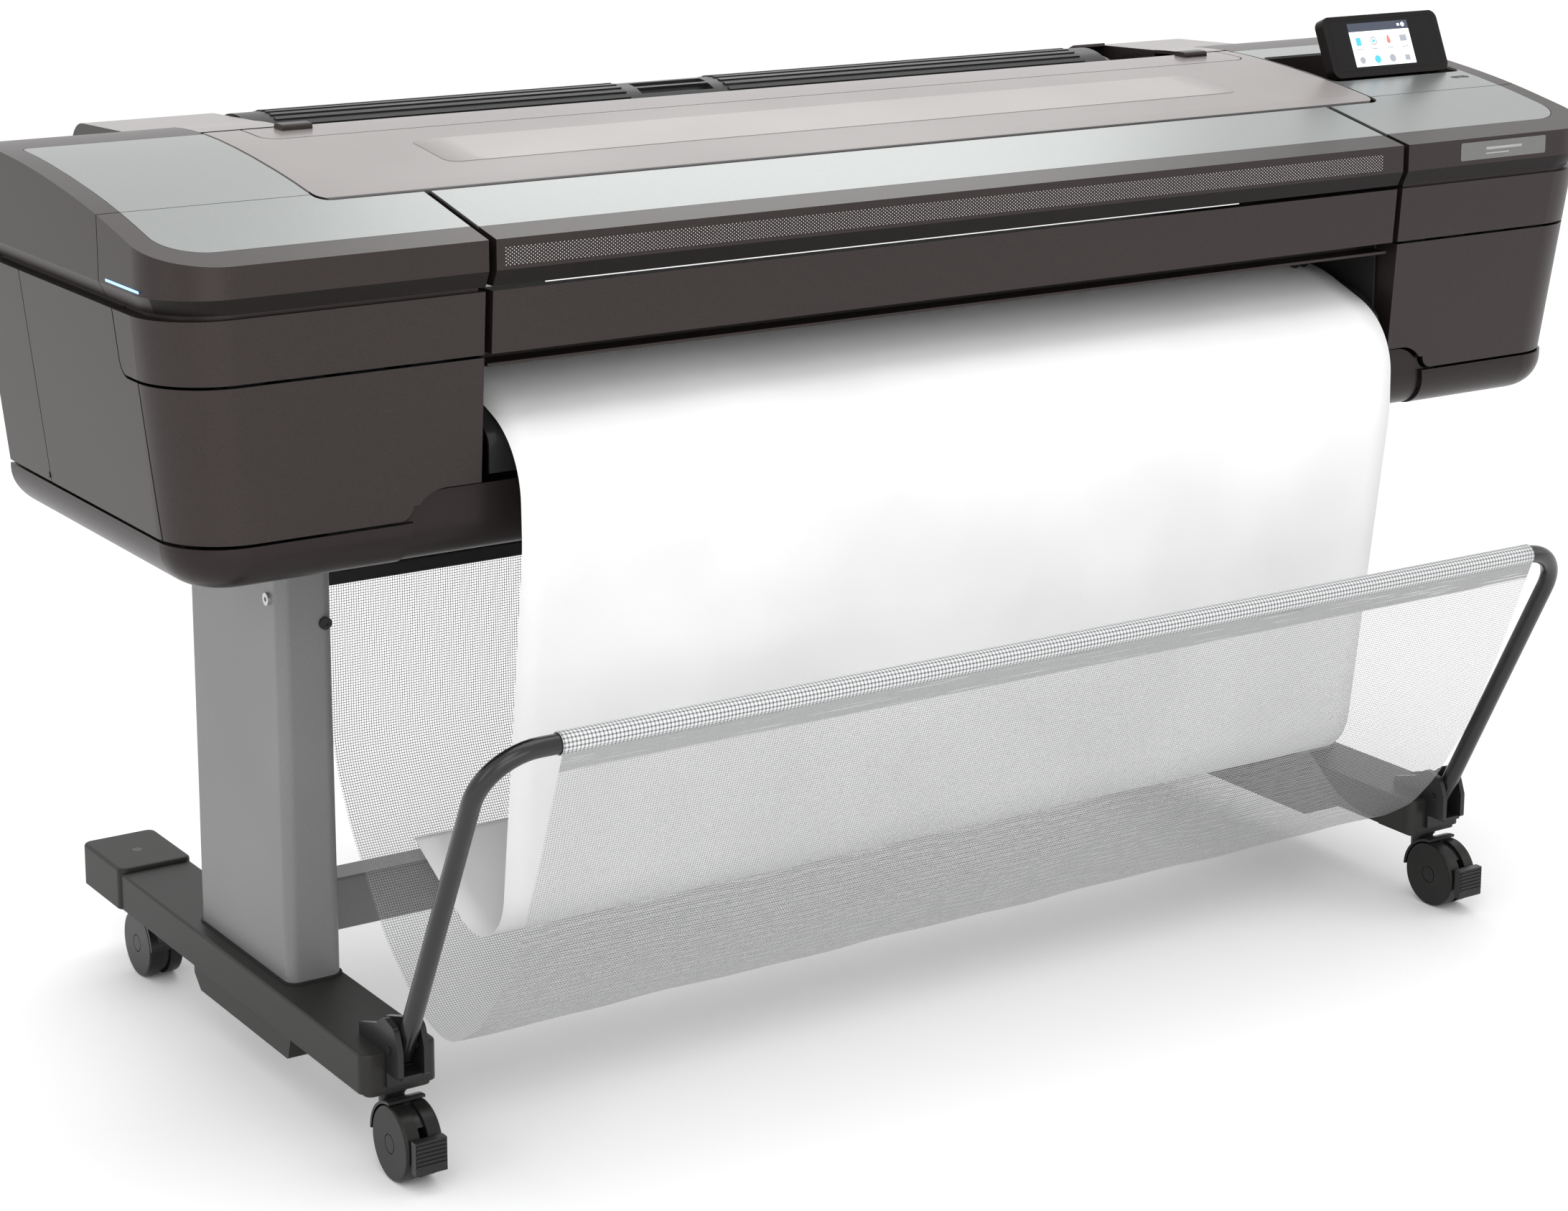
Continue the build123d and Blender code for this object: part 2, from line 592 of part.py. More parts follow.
def chassis():
    """Welded steel frame: base plate, two side plates, two rail brackets and a rear beam."""
    frame = block(-855, 855, 60, 455, 650, BASE_TOP_Z)
    profile = [
        (45, BASE_TOP_Z), (455, BASE_TOP_Z), (455, 735), (400, 757),
        (132, 757), (132, 918), (100, 918), (96, 860), (45, 850),
    ]
    for x in PLATE_X:
        frame += side_prism(profile, x, x + PLATE_T)
    bracket = [(262, BASE_TOP_Z), (455, BASE_TOP_Z), (455, 900), (300, 915), (262, 880)]
    for x in RAIL_END_X:
        frame += side_prism(bracket, x, x + PLATE_T)
    beam = block(*PLATE_X, 415, 453, 690, 730)
    frame += beam - block(PLATE_X[0] - 1, PLATE_X[1] + 4, 418, 450, 693, 727)
    frame -= rod((PLATE_X[0] - 1, FEED_Y, FEED_Z), (PLATE_X[1] + 5, FEED_Y, FEED_Z), 10.06)
    for side in (-1, 1):
        for y in FLANGE_SCREW_Y:
            frame -= rod((side * COLUMN_X, y, 640), (side * COLUMN_X, y, 660), 5.2)
    return frame


FEED_Y, FEED_Z, FEED_R = 300.0, 740.0, 20.0
PULLEY_R = 26.0
PINION_R = 9.0
PINCH_R = 8.0


def feed_roller():
    """Paper drive roller with journals and the toothed pulley on its left end."""
    roller = rod((-556, FEED_Y, FEED_Z), (575, FEED_Y, FEED_Z), FEED_R)
    shaft = rod((-600, FEED_Y, FEED_Z), (597, FEED_Y, FEED_Z), 10.0)
    pulley = rod((-600, FEED_Y, FEED_Z), (-582, FEED_Y, FEED_Z), PULLEY_R)
    for index in range(40):
        angle = radians(index * 9)
        y = FEED_Y + (PULLEY_R + 0.2) * cos(angle)
        z = FEED_Z + (PULLEY_R + 0.2) * sin(angle)
        pulley -= rod((-601, y, z), (-581, y, z), 1.0)
    return roller + shaft + pulley


def pinch_rollers():
    """Shaft with soft wheels that press the paper on the drive roller."""
    axis_z = PAPER_Z + PAPER_T / 2 + 0.35 + PINCH_R
    shaft = rod((-560, FEED_Y, axis_z), (579, FEED_Y, axis_z), 3.0)
    for index in range(12):
        x = -500 + index * 92.0
        shaft += rod((x, FEED_Y, axis_z), (x + 40, FEED_Y, axis_z), PINCH_R)
    return shaft


def platen():
    """Curved outlet guide and flat print platen with its ribs."""
    path = [(28.5, 680), (28.5, 714), (62, 738), (160, 757.0), (272, 757.0)]
    guide = strip(path, [16, 50, 60], -563, 582, 3.0)
    table = block(-563, 582, 162, 272, 742, PLATEN_TOP_Z) - block(-560, 579, 165, 269, 741, 755.5)
    for index in range(11):
        x = -500 + index * 100
        table += block(x, x + 3, 162, 272, 744, 757)
    return guide + table


CARRIAGE_X = 620.0
CARRIAGE_HALF = 92.0
ROD_Y, ROD_Z, ROD_R = 300.0, 880.0, 9.0


def guide_rails():
    """Carriage beam and rod, and the small rail of the trimmer."""
    ends = (RAIL_END_X[0] + PLATE_T, RAIL_END_X[1])
    beam = block(*ends, 352, 400, 830, 900)
    beam -= block(ends[0] - 1, ends[1] + 1, 356, 396, 834, 896)
    round_rod = rod((ends[0], ROD_Y, ROD_Z), (ends[1], ROD_Y, ROD_Z), ROD_R)
    trimmer = block(-568.9, 587.9, 58, 74, 812, 836)
    return solids_of(beam, round_rod, trimmer)


def carriage():
    """Printhead carriage with six heads and its lid latch."""
    x0, x1 = CARRIAGE_X - CARRIAGE_HALF, CARRIAGE_X + CARRIAGE_HALF
    body = soft_block(x0, x1, 165, 284, 772, 905, 8)
    body += block(x0 + 8, x1 - 8, 280, 322, 862, 898)
    body += block(x0 + 30, x1 - 30, 320, 351.5, 868, 892)
    body -= rod((x0 - 1, ROD_Y, ROD_Z), (x1 + 1, ROD_Y, ROD_Z), ROD_R + 0.06)
    for index in range(6):
        x = x0 + 10 + index * 28
        body += block(x, x + 22, 180, 262, 764.5, 773)
    body += soft_block(x0 + 20, x1 - 20, 176, 250, 904, 914, 10)
    body += block(CARRIAGE_X - 22, CARRIAGE_X + 22, 160, 166, 868, 896)
    return body


def trimmer_carriage():
    """Small carriage with the two cutting wheels."""
    x0, x1 = 520.0, 562.0
    body = soft_block(x0, x1, 75, 118, 776, 844, 4)
    body += block(x0, x1, 57.5, 76, 837, 844) + block(x0, x1, 57.5, 76, 804, 811)
    for x in (x0 + 12, x0 + 26):
        body += rod((x, 118, 772), (x + 2, 118, 772), 12)
    return body + rod((x0 + 8, 112, 780), (x0 + 34, 112, 780), 5)


def carriage_drive():
    """Belt of the carriage, its two pulleys and motor, and the feed motor with its belt."""
    belt_y, belt_z = 411.0, 868.0
    left, right = -660.0, 700.0
    loop = Plane(origin=(0, belt_y, belt_z), x_dir=(1, 0, 0), z_dir=(0, -1, 0))
    outer = Pos((left + right) / 2, 0) * SlotOverall(right - left + 32, 32)
    inner = Pos((left + right) / 2, 0) * SlotOverall(right - left + 28, 28)
    belt = extrude(loop * (outer - inner), amount=8)
    pulleys = [rod((x, belt_y - 9, belt_z), (x, belt_y + 2, belt_z), 13.9) for x in (left, right)]
    motor = rod((right, belt_y + 2, belt_z), (right, belt_y + 42, belt_z), 21)
    feed_y, feed_z = 220.0, 700.0
    feed_motor = rod((-640, feed_y, feed_z), (-604, feed_y, feed_z), 20)
    feed_pinion = rod((-604, feed_y, feed_z), (-584, feed_y, feed_z), PINION_R)
    return solids_of(belt, *pulleys, motor, feed_motor + feed_pinion, feed_belt(feed_y, feed_z))


def feed_belt(feed_y, feed_z):
    """Closed belt round the feed pinion and the big pulley, clear of both."""
    def band(grow):
        far = Vector(FEED_Y, FEED_Z)
        near = Vector(feed_y, feed_z)
        big, small = PULLEY_R + 0.4 + grow, PINION_R + 0.4 + grow
        turn = degrees(atan2(far.Y - near.Y, far.X - near.X))
        span = hypot(far.X - near.X, far.Y - near.Y)
        lean = (big - small) / span
        rise = (1 - lean * lean) ** 0.5
        x_small, x_big = -small * lean, span - big * lean
        half_small, half_big = small * rise, big * rise
        quad = [(x_small, half_small), (x_big, half_big), (x_big, -half_big), (x_small, -half_small)]
        face = Circle(small) + Pos(span, 0) * Circle(big) + outline_face(quad, None)
        return Pos(near.X, near.Y) * Rot(0, 0, turn) * face
    ring = band(1.6) - band(0.0)
    return extrude(Plane.YZ.offset(-598) * ring, amount=12, dir=(1, 0, 0))


def service_station():
    """Capping and wiping unit under the parked carriage."""
    base = block(607, 722, 170, 290, BASE_TOP_Z, 748) - block(611, 718, 174, 286, 690, 749)
    base -= rod((COLUMN_X, FLANGE_SCREW_Y[0], 650), (COLUMN_X, FLANGE_SCREW_Y[0], 664), 7)
    caps = [soft_block(615 + i * 18, 628 + i * 18, 190, 256, 700, 760, 3) for i in range(6)]
    return solids_of(base, *caps)


def electronics_box():
    """Main board box on the left and power supply on the right."""
    boxes = []
    skin = 1.5
    for x0, x1, top in ((-850, -706, 760), (742, 852, 800)):
        case = soft_block(x0, x1, 190, 450, BASE_TOP_Z, top, 4)
        case -= block(x0 + skin, x1 - skin, 190 + skin, 450 - skin, BASE_TOP_Z + skin, top - skin)
        boxes.append(case)
    return solids_of(*boxes)


CARTRIDGE_START_X = (-840.0, 604.0)
CARTRIDGE_PITCH = 62.0


def ink_cartridge(x):
    """One cartridge with its grip, starting at x."""
    body = soft_block(x, x + 50, 32, 146, 700, 838, 4)
    body += block(x + 8, x + 42, 24, 33, 770, 800)
    return body


def ink_cartridges():
    """Four cartridges in each end module."""
    places = [start + index * CARTRIDGE_PITCH for start in CARTRIDGE_START_X for index in range(4)]
    return solids_of(*[ink_cartridge(x) for x in places])


# ---------------------------------------------------------------- roll
HUB_X = (PAPER_X[0] - 0.3, PAPER_X[1] + 0.3)


def spindle():
    """Rod with the two hubs that grip the roll's core."""
    body = rod((-660, ROLL_Y, ROLL_Z), (680, ROLL_Y, ROLL_Z), 12.0)
    for edge, side in ((HUB_X[0], -1), (HUB_X[1], 1)):
        body += rod((edge, ROLL_Y, ROLL_Z), (edge + side * 8, ROLL_Y, ROLL_Z), 72)
        body += rod((edge + side * 8, ROLL_Y, ROLL_Z), (edge + side * 20, ROLL_Y, ROLL_Z), 30)
        body += rod((edge, ROLL_Y, ROLL_Z), (edge - side * 70, ROLL_Y, ROLL_Z), CORE_R - 0.3)
    body += rod((-655, ROLL_Y, ROLL_Z), (-640, ROLL_Y, ROLL_Z), 32)
    return body


def paper_roll():
    """Paper wound on its core."""
    whole = rod((PAPER_X[0], ROLL_Y, ROLL_Z), (PAPER_X[1], ROLL_Y, ROLL_Z), ROLL_R)
    return whole - rod((PAPER_X[0] - 1, ROLL_Y, ROLL_Z), (PAPER_X[1] + 1, ROLL_Y, ROLL_Z), CORE_R)


def paper_sheet():
    """Printed sheet from the roll over the platen and down into the basket."""
    leave_y = ROLL_Y - ROLL_R - 0.6
    path = [
        (leave_y, ROLL_Z), (leave_y, PAPER_Z), (118, PAPER_Z),
        (-9, 712), (-11, 610), (50, 150), (230, 250),
    ]
    return strip(path, [88, 150, 84, 200, 62], *PAPER_X, PAPER_T)


# ---------------------------------------------------------------- control panel
def panel_plane():
    lean = radians(PANEL_LEAN)
    foot_middle = ((PANEL_X[0] + PANEL_X[1]) / 2, *PANEL_FOOT)
    return Plane(origin=foot_middle, x_dir=(1, 0, 0), z_dir=(0, -cos(lean), sin(lean)))


def control_panel():
    """Tilting housing of the touch screen with its hinge barrel."""
    width = PANEL_X[1] - PANEL_X[0]
    face = Pos(0, PANEL_H / 2) * RectangleRounded(width, PANEL_H, 11)
    plane = panel_plane()
    body = extrude(plane * face, amount=-PANEL_T)
    glass = Pos(0, PANEL_H / 2 + 1) * RectangleRounded(width - 18, PANEL_H - 13, 4)
    body -= extrude(plane * glass, amount=-1.5)
    neck = block(716, 832, TILT_Y - 6, TILT_Y + 8, TILT_Z - 4, TILT_Z + 26)
    front_cut = extrude(plane * (Pos(0, 20) * Rectangle(300, 120)), amount=60)
    body += (neck - front_cut) + rod((713, TILT_Y, TILT_Z), (835, TILT_Y, TILT_Z), 6.0)
    body += rod((701, TILT_Y, TILT_Z), (847, TILT_Y, TILT_Z), 2.5)
    return body


def touch_screen():
    """Glass plate of the control panel."""
    width = PANEL_X[1] - PANEL_X[0]
    glass = Pos(0, PANEL_H / 2 + 1) * RectangleRounded(width - 18.4, PANEL_H - 13.4, 3.8)
    return extrude(panel_plane().offset(-1.5) * glass, amount=1.5)


def power_button():
    """Slot shaped button beside the control panel."""
    cap = Pos(BUTTON_X, BUTTON_Y, 939.6) * SlotOverall(26, 8)
    return extrude(cap, amount=20, dir=(0, 0, 1)) & under_top(1.0, 560, 910)


# ---------------------------------------------------------------- stand
def column_form(side, grow, z0, z1):
    """Rounded column section between two heights, grown by grow."""
    x = side * COLUMN_X
    half = COLUMN_W / 2 + grow
    y0, y1 = COLUMN_Y
    return soft_block(x - half, x + half, y0 - grow, y1 + grow, z0, z1, COLUMN_R + grow)


def column(side):
    """Hollow column with a bolted flange at the top and a tenon that enters the foot."""
    body = column_form(side, 0, FOOT_Z[1], COLUMN_TOP_Z)
    body -= column_form(side, -3, FOOT_Z[1] + 3, COLUMN_TOP_Z - 6)
    body += column_form(side, -6, TENON_Z, FOOT_Z[1] + 1)
    body -= column_form(side, -8.5, TENON_Z - 1, FOOT_Z[1] + 4)
    for y in FLANGE_SCREW_Y:
        body -= rod((side * COLUMN_X, y, 600), (side * COLUMN_X, y, 660), 5.2)
    return body


def foot_beam(side):
    """Hollow foot, open below, with bosses for the caster stems."""
    x = side * FOOT_X
    half = FOOT_HALF
    body = soft_block(x - half, x + half, FOOT_Y[0], FOOT_Y[1], FOOT_Z[0], FOOT_Z[1], 11)
    body = fillet(body.faces().sort_by(Axis.Z)[-1].edges(), 3)
    y0, y1 = FOOT_Y
    z0, z1 = FOOT_Z
    body += soft_block(x - half + 6, x + half - 6, y0 + 2, 70, z0 - 4, z0 + 1, 8)
    body -= soft_block(x - half + 7.5, x + half - 7.5, y0 + 6, y1 - 8, 80, z1 - 4, 5)
    for stem_y in (FRONT_STEM_Y, REAR_STEM_Y):
        body += rod((x, stem_y, FOOT_Z[0] - 3), (x, stem_y, FOOT_Z[1] - 3), 14)
        body -= rod((x, stem_y, 80), (x, stem_y, 118), 5.56)
    body -= column_form(side, -5.6, 95, 140)
    return body


def foot(side):
    """Foot with its rear cap and underside skid as separate pieces."""
    x = side * FOOT_X
    half = FOOT_HALF
    step = block(x - half - 1, x + half + 1, 600, 701, 80, 140)
    step -= block(x - half + 2.7, x + half - 2.7, 599, 697, 79, 125.3)
    cap = soft_block(x - half - 2, x + half + 2, 601, 713, 86, 133, 10)
    cap = fillet(cap.faces().sort_by(Axis.Z)[-1].edges(), 4)
    cap -= block(x - half + 3, x + half - 3, 600, 697.3, 80, 125.6)
    cap -= rod((x, 655, 131), (x, 655, 140), 6.5)
    outline = [(187, 83), (195, 55), (412, 55), (428, 70), (428, 86.7), (187, 86.7)]
    skid = side_prism(outline, x - 32, x + 32, [0, 3, 3, 3, 0, 0])
    skid -= block(x - 28, x + 28, 200, 405, 54, 82)
    return solids_of(foot_beam(side) - step, cap, skid)


def cross_brace():
    """Low beam between the columns."""
    x = COLUMN_X - COLUMN_W / 2 - 0.2
    body = soft_block(-x, x, 280, 320, 144, 201, 4, Axis.X)
    return body - soft_block(-x - 1, x + 1, 282.5, 317.5, 146.5, 198.5, 2, Axis.X)


def basket_rail():
    """Dark rail that holds the rear edge of the basket."""
    x = COLUMN_X - COLUMN_W / 2 - 0.2
    body = soft_block(-x, x, 288, 312, 514, 531, 3, Axis.X)
    return body - block(FABRIC_X[0] - 1, FABRIC_X[1] + 1, 300 - 1.1, 300 + 1.1, 513, 524)


def fasteners():
    """Column screws, recessed cap screws and casing screws."""
    screws = []
    for side in (-1, 1):
        x_out = side * (COLUMN_X + COLUMN_W / 2)
        for y in (231, 406):
            screws.append(screw_x(x_out, y, 529, side))
        screws.append(front_knob(side * (COLUMN_X - 19.5), 502.5))
        screws.append(rod((side * FOOT_X, 655, 131.0), (side * FOOT_X, 655, 133.0), 6.2))
        for y in FLANGE_SCREW_Y:
            screws.append(rod((side * COLUMN_X, y, 644), (side * COLUMN_X, y, 660), 5.0))
    return solids_of(*screws)


def screw_x(x, y, z, side):
    """Round screw head with a hexagonal socket, on a side face."""
    head = rod((x, y, z), (x + side * 3, y, z), 6.5)
    socket = Plane(origin=(x + side * 3, y, z), z_dir=(-side, 0, 0)) * RegularPolygon(2.8, 6)
    return head - extrude(socket, amount=2)


def front_knob(x, z):
    """Round-headed knob on the front face of a column."""
    head = rod((x, COLUMN_Y[0], z), (x, COLUMN_Y[0] - 4, z), 6.5)
    return head - rod((x, COLUMN_Y[0] - 3, z), (x, COLUMN_Y[0] - 5, z), 2.6)


# ---------------------------------------------------------------- basket
def tube_plane():
    """Plane of the bent tube: local x along the machine, local y up the legs."""
    lean = Vector(0, BAR_Y - PIVOT_Y, BAR_Z - PIVOT_Z).normalized()
    normal = Vector(1, 0, 0).cross(lean)
    return Plane(origin=(0, PIVOT_Y, PIVOT_Z), x_dir=(1, 0, 0), z_dir=normal)


def basket_tube():
    """Bent steel tube that carries the front edge of the basket."""
    length = hypot(BAR_Y - PIVOT_Y, BAR_Z - PIVOT_Z)
    points = [(-FOOT_X, -TUBE_TAIL), (-FOOT_X, length), (FOOT_X, length), (FOOT_X, -TUBE_TAIL)]
    path = tube_plane() * FilletPolyline(*points, radius=58)
    start = Plane(origin=path @ 0, z_dir=path % 0)
    body = sweep(start * Circle(TUBE_R), path=path) - sweep(start * Circle(TUBE_R - 1.5), path=path)
    for side in (-1, 1):
        x = side * FOOT_X
        body -= rod((x - 20, PIVOT_Y, PIVOT_Z), (x + 20, PIVOT_Y, PIVOT_Z), 4.08)
    return body


def clevis(side):
    """Bracket on the foot with two ears, a stop web and the pivot pin."""
    x = side * FOOT_X
    ear = [
        (-24, 108), (-24, 136), (-16, 158), (6, 164), (22, 152),
        (60, 140), (60, 128.3), (4.6, 128.3), (4.6, 108),
    ]
    radii = [3, 8, 9, 10, 10, 2, 0, 0, 3]
    body = side_prism(ear, x - 17, x - 11, radii) + side_prism(ear, x + 11, x + 17, radii)
    body += block(x - 17, x + 17, 26, 60, 128.3, 133)
    body += block(x - 17, x + 17, 0.6, 4.6, 92, 112)
    body += block(x - 12, x + 12, -22, 4.6, 106, 110)
    for y in (30, 42, 54):
        body += block(x - 12, x + 12, y, y + 2, 132, 139)
    return body + rod((x - 19, PIVOT_Y, PIVOT_Z), (x + 19, PIVOT_Y, PIVOT_Z), 4.0)


def basket_clevises():
    return solids_of(clevis(-1), clevis(1))


def basket_fabric_front():
    """Front wall of the basket with the sleeve round the bar."""
    path = [(-186.5, 470), (-142, 352), (-100, 256), (-50, 177), (-13, 137)]
    wall = strip(path, [300, 300, 200], *FABRIC_X, FABRIC_T)
    start = (FABRIC_X[0], BAR_Y, BAR_Z)
    stop = (FABRIC_X[1], BAR_Y, BAR_Z)
    sleeve = rod(start, stop, TUBE_R + 1.9)
    hollow = rod((start[0] - 1, *start[1:]), (stop[0] + 1, *stop[1:]), TUBE_R + 0.3)
    return (wall + sleeve) - hollow


def basket_fabric_rear():
    """Rear wall and belly of the basket, hung from the rail."""
    path = [(300, 522), (300, 330), (262, 258), (190, 165), (110, 106), (50, 96), (-10, 133)]
    return strip(path, [130, 150, 150, 110, 60], *FABRIC_X, FABRIC_T)


# ---------------------------------------------------------------- casters
CASTERS = {                        # side, stem place and the way it trails
    "fl": (-1, FRONT_STEM_Y, -1),
    "fr": (1, FRONT_STEM_Y, -1),
    "rl": (-1, REAR_STEM_Y, 1),
    "rr": (1, REAR_STEM_Y, 1),
}
WHEEL_HALF = 20.0
FORK_HALF = 4.0


def caster_places(name):
    """X, stem Y, axle Y and trailing direction of one caster."""
    side, stem_y, way = CASTERS[name]
    return side * FOOT_X, stem_y, stem_y + way * TRAIL, way


def caster_fork(name):
    """Swivelling body between the twin wheels, with its hood and stem."""
    x, stem_y, axle_y, way = caster_places(name)
    wheel_room = rod((x - 30, axle_y, WHEEL_R), (x + 30, axle_y, WHEEL_R), WHEEL_R + 1.2)
    body = rod((x, stem_y, 50), (x, stem_y, 80), 13) - wheel_room
    body += rod((x - FORK_HALF, axle_y, WHEEL_R), (x + FORK_HALF, axle_y, WHEEL_R), 34.5)
    body += block(x - FORK_HALF, x + FORK_HALF, *sorted((stem_y, axle_y)), 45, 76)
    body += hood(x, stem_y, axle_y)
    body += rod((x, stem_y, 78), (x, stem_y, 82.2), 15)
    body += rod((x, stem_y, 80), (x, stem_y, 116), 5.5)
    body -= rod((x - 30, axle_y, WHEEL_R), (x + 30, axle_y, WHEEL_R), 5.06)
    if name[0] == "f":
        body -= brake_room(x, axle_y, way)
    return body


def hood(x, stem_y, axle_y):
    """Arched guard over the stem side of the wheels."""
    arch = rod((x - WHEEL_HALF, axle_y, WHEEL_R), (x + WHEEL_HALF, axle_y, WHEEL_R), WHEEL_R + 4)
    arch -= rod((x - 40, axle_y, WHEEL_R), (x + 40, axle_y, WHEEL_R), WHEEL_R + 1.2)
    y_far = stem_y + (stem_y - axle_y) * 0.6
    keep = block(x - 30, x + 30, *sorted((axle_y, y_far)), WHEEL_R + 2, 100)
    return arch & keep


def brake_room(x, axle_y, way):
    """Space in the fork for the brake lever's arm."""
    return block(x - 5, x + 5, *sorted((axle_y + way * 14, axle_y + way * 60)), 14, 60)


def caster_wheels(name):
    """Pair of wheels on one axle."""
    x, _, axle_y, _ = caster_places(name)
    pair = rod((x - WHEEL_HALF, axle_y, WHEEL_R), (x + WHEEL_HALF, axle_y, WHEEL_R), 5.0)
    for side in (-1, 1):
        near = x + side * (FORK_HALF + 0.5)
        far = x + side * WHEEL_HALF
        wheel = rod((near, axle_y, WHEEL_R), (far, axle_y, WHEEL_R), WHEEL_R)
        rims = wheel.edges().filter_by(GeomType.CIRCLE).sort_by(Axis.X)
        wheel = fillet(rims[-1] if side > 0 else rims[0], 3)
        groove = rod((far - side * 1.2, axle_y, WHEEL_R), (far + side, axle_y, WHEEL_R), 10)
        groove -= rod((far - side * 2, axle_y, WHEEL_R), (far + side * 2, axle_y, WHEEL_R), 9)
        pair += wheel - groove
    return pair


BRAKE_Y, BRAKE_Z = 22.0, 38.0      # brake pivot ahead of the axle, and its height


def caster_brake(name):
    """Ribbed foot lever that presses on the wheels."""
    x, _, axle_y, way = caster_places(name)
    y = axle_y + way * BRAKE_Y
    arm = block(x - 3.4, x + 3.4, *sorted((y, axle_y + way * 46)), 32, 44)
    arm += rod((x - 3.4, y, BRAKE_Z), (x + 3.4, y, BRAKE_Z), 6.0)
    y0, y1 = sorted((axle_y + way * 41, axle_y + way * 50))
    pad = block(x - 17, x + 17, y0, y1, 22, 56)
    for index in range(6):
        z = 30 + index * 4.2
        pad += block(x - 16, x + 16, *sorted((axle_y + way * 49, axle_y + way * 51.2)), z, z + 1.8)
    return arm + pad


# ---------------------------------------------------------------- build
PARTS = {
    "foot_left": lambda: foot(-1),
    "foot_right": lambda: foot(1),
    "column_left": lambda: column(-1),
    "column_right": lambda: column(1),
    "cross_brace": cross_brace,
    "basket_rail": basket_rail,
    "basket_clevises": basket_clevises,
    "fasteners": fasteners,
    "basket_tube": basket_tube,
    "basket_fabric_front": basket_fabric_front,
    "basket_fabric_rear": basket_fabric_rear,
    "paper_sheet": paper_sheet,
    "chassis": chassis,
    "lower_housing_left": lambda: lower_housing(-1),
    "lower_housing_right": lambda: lower_housing(1),
    "mid_bands": mid_bands,
    "side_panels": side_panels,
    "bottom_pan": bottom_pan,
    "center_panel": center_panel,
    "rear_cover_left": lambda: rear_cover(-1),
    "rear_cover_right": lambda: rear_cover(1),
    "front_fascia": front_fascia,
    "rear_panel": rear_panel,
    "rear_ports": rear_ports,
    "rear_strip": rear_strip,
    "ink_lid_left": lambda: ink_lid(-1),
    "ink_lid_right": lambda: ink_lid(1),
    "lid_inlay_left": lambda: lid_inlay(-1),
    "lid_inlay_right": lambda: lid_inlay(1),
    "rear_inlays": rear_inlays,
    "trimmer_cover": trimmer_cover,
    "trimmer_inlay": trimmer_inlay,
    "window_cover": window_cover,
    "roll_cover": roll_cover,
    "roll_housing": roll_housing,
    "spindle": spindle,
    "paper_roll": paper_roll,
    "control_panel": control_panel,
    "touch_screen": touch_screen,
    "power_button": power_button,
    "carriage": carriage,
    "guide_rails": guide_rails,
    "carriage_drive": carriage_drive,
    "trimmer_carriage": trimmer_carriage,
    "feed_roller": feed_roller,
    "pinch_rollers": pinch_rollers,
    "platen": platen,
    "ink_cartridges": ink_cartridges,
    "electronics_box": electronics_box,
    "service_station": service_station,
}
for caster in CASTERS:
    PARTS[f"caster_{caster}_fork"] = lambda caster=caster: caster_fork(caster)
    PARTS[f"caster_{caster}_wheels"] = lambda caster=caster: caster_wheels(caster)
    if caster[0] == "f":
        PARTS[f"caster_{caster}_brake"] = lambda caster=caster: caster_brake(caster)

os.makedirs("parts", exist_ok=True)
for name, make in PARTS.items():
    shape = Location(ROW_SHIFT) * make()
    export_step(shape, f"parts/{name}.step")
print(len(PARTS), "parts written")
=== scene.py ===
"""Looks of the large format plotter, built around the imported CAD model. Metres, row frame."""
import math

import bmesh
import bpy
from mathutils import Matrix, Vector
from mathutils.bvhtree import BVHTree


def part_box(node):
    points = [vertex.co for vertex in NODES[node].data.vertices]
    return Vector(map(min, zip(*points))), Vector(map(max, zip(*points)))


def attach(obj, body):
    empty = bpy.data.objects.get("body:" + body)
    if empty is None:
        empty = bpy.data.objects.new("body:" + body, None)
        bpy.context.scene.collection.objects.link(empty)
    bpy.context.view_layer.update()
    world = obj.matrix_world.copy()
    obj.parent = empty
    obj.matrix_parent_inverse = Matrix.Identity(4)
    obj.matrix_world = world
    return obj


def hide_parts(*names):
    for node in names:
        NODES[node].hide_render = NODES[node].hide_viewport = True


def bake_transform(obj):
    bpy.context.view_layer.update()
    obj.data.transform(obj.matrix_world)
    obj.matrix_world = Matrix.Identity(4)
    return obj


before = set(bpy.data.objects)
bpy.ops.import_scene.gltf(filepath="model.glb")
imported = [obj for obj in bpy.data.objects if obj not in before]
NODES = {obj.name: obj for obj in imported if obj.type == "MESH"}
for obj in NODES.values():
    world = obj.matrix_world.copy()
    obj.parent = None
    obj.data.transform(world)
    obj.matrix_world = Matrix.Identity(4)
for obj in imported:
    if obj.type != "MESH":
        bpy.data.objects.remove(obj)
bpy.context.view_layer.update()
MM = 0.001


# The CAD model's own places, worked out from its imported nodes.
FRONT_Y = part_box("trimmer_cover")[0].y           # front face of the top band
PAPER_LOW, PAPER_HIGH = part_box("paper_sheet")
CLOTH_LOW, CLOTH_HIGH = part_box("basket_fabric_rear")
SCREEN_LOW, SCREEN_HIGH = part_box("touch_screen")


def at(x, y, z):
    """A point given in millimetres, with y counted from the machine's front face."""
    return Vector((x * MM, FRONT_Y + y * MM, z * MM))


# ---------------------------------------------------------------- materials
COAT_ROUGH = 0.12
SLOW_SCALE = 5.0                     # noise scale of the slow tone changes, a wave each 200 mm or so
METAL_GRAIN = 1400.0
GLOW_GRAIN = 900.0
CLOTH_GRAIN = 1200.0


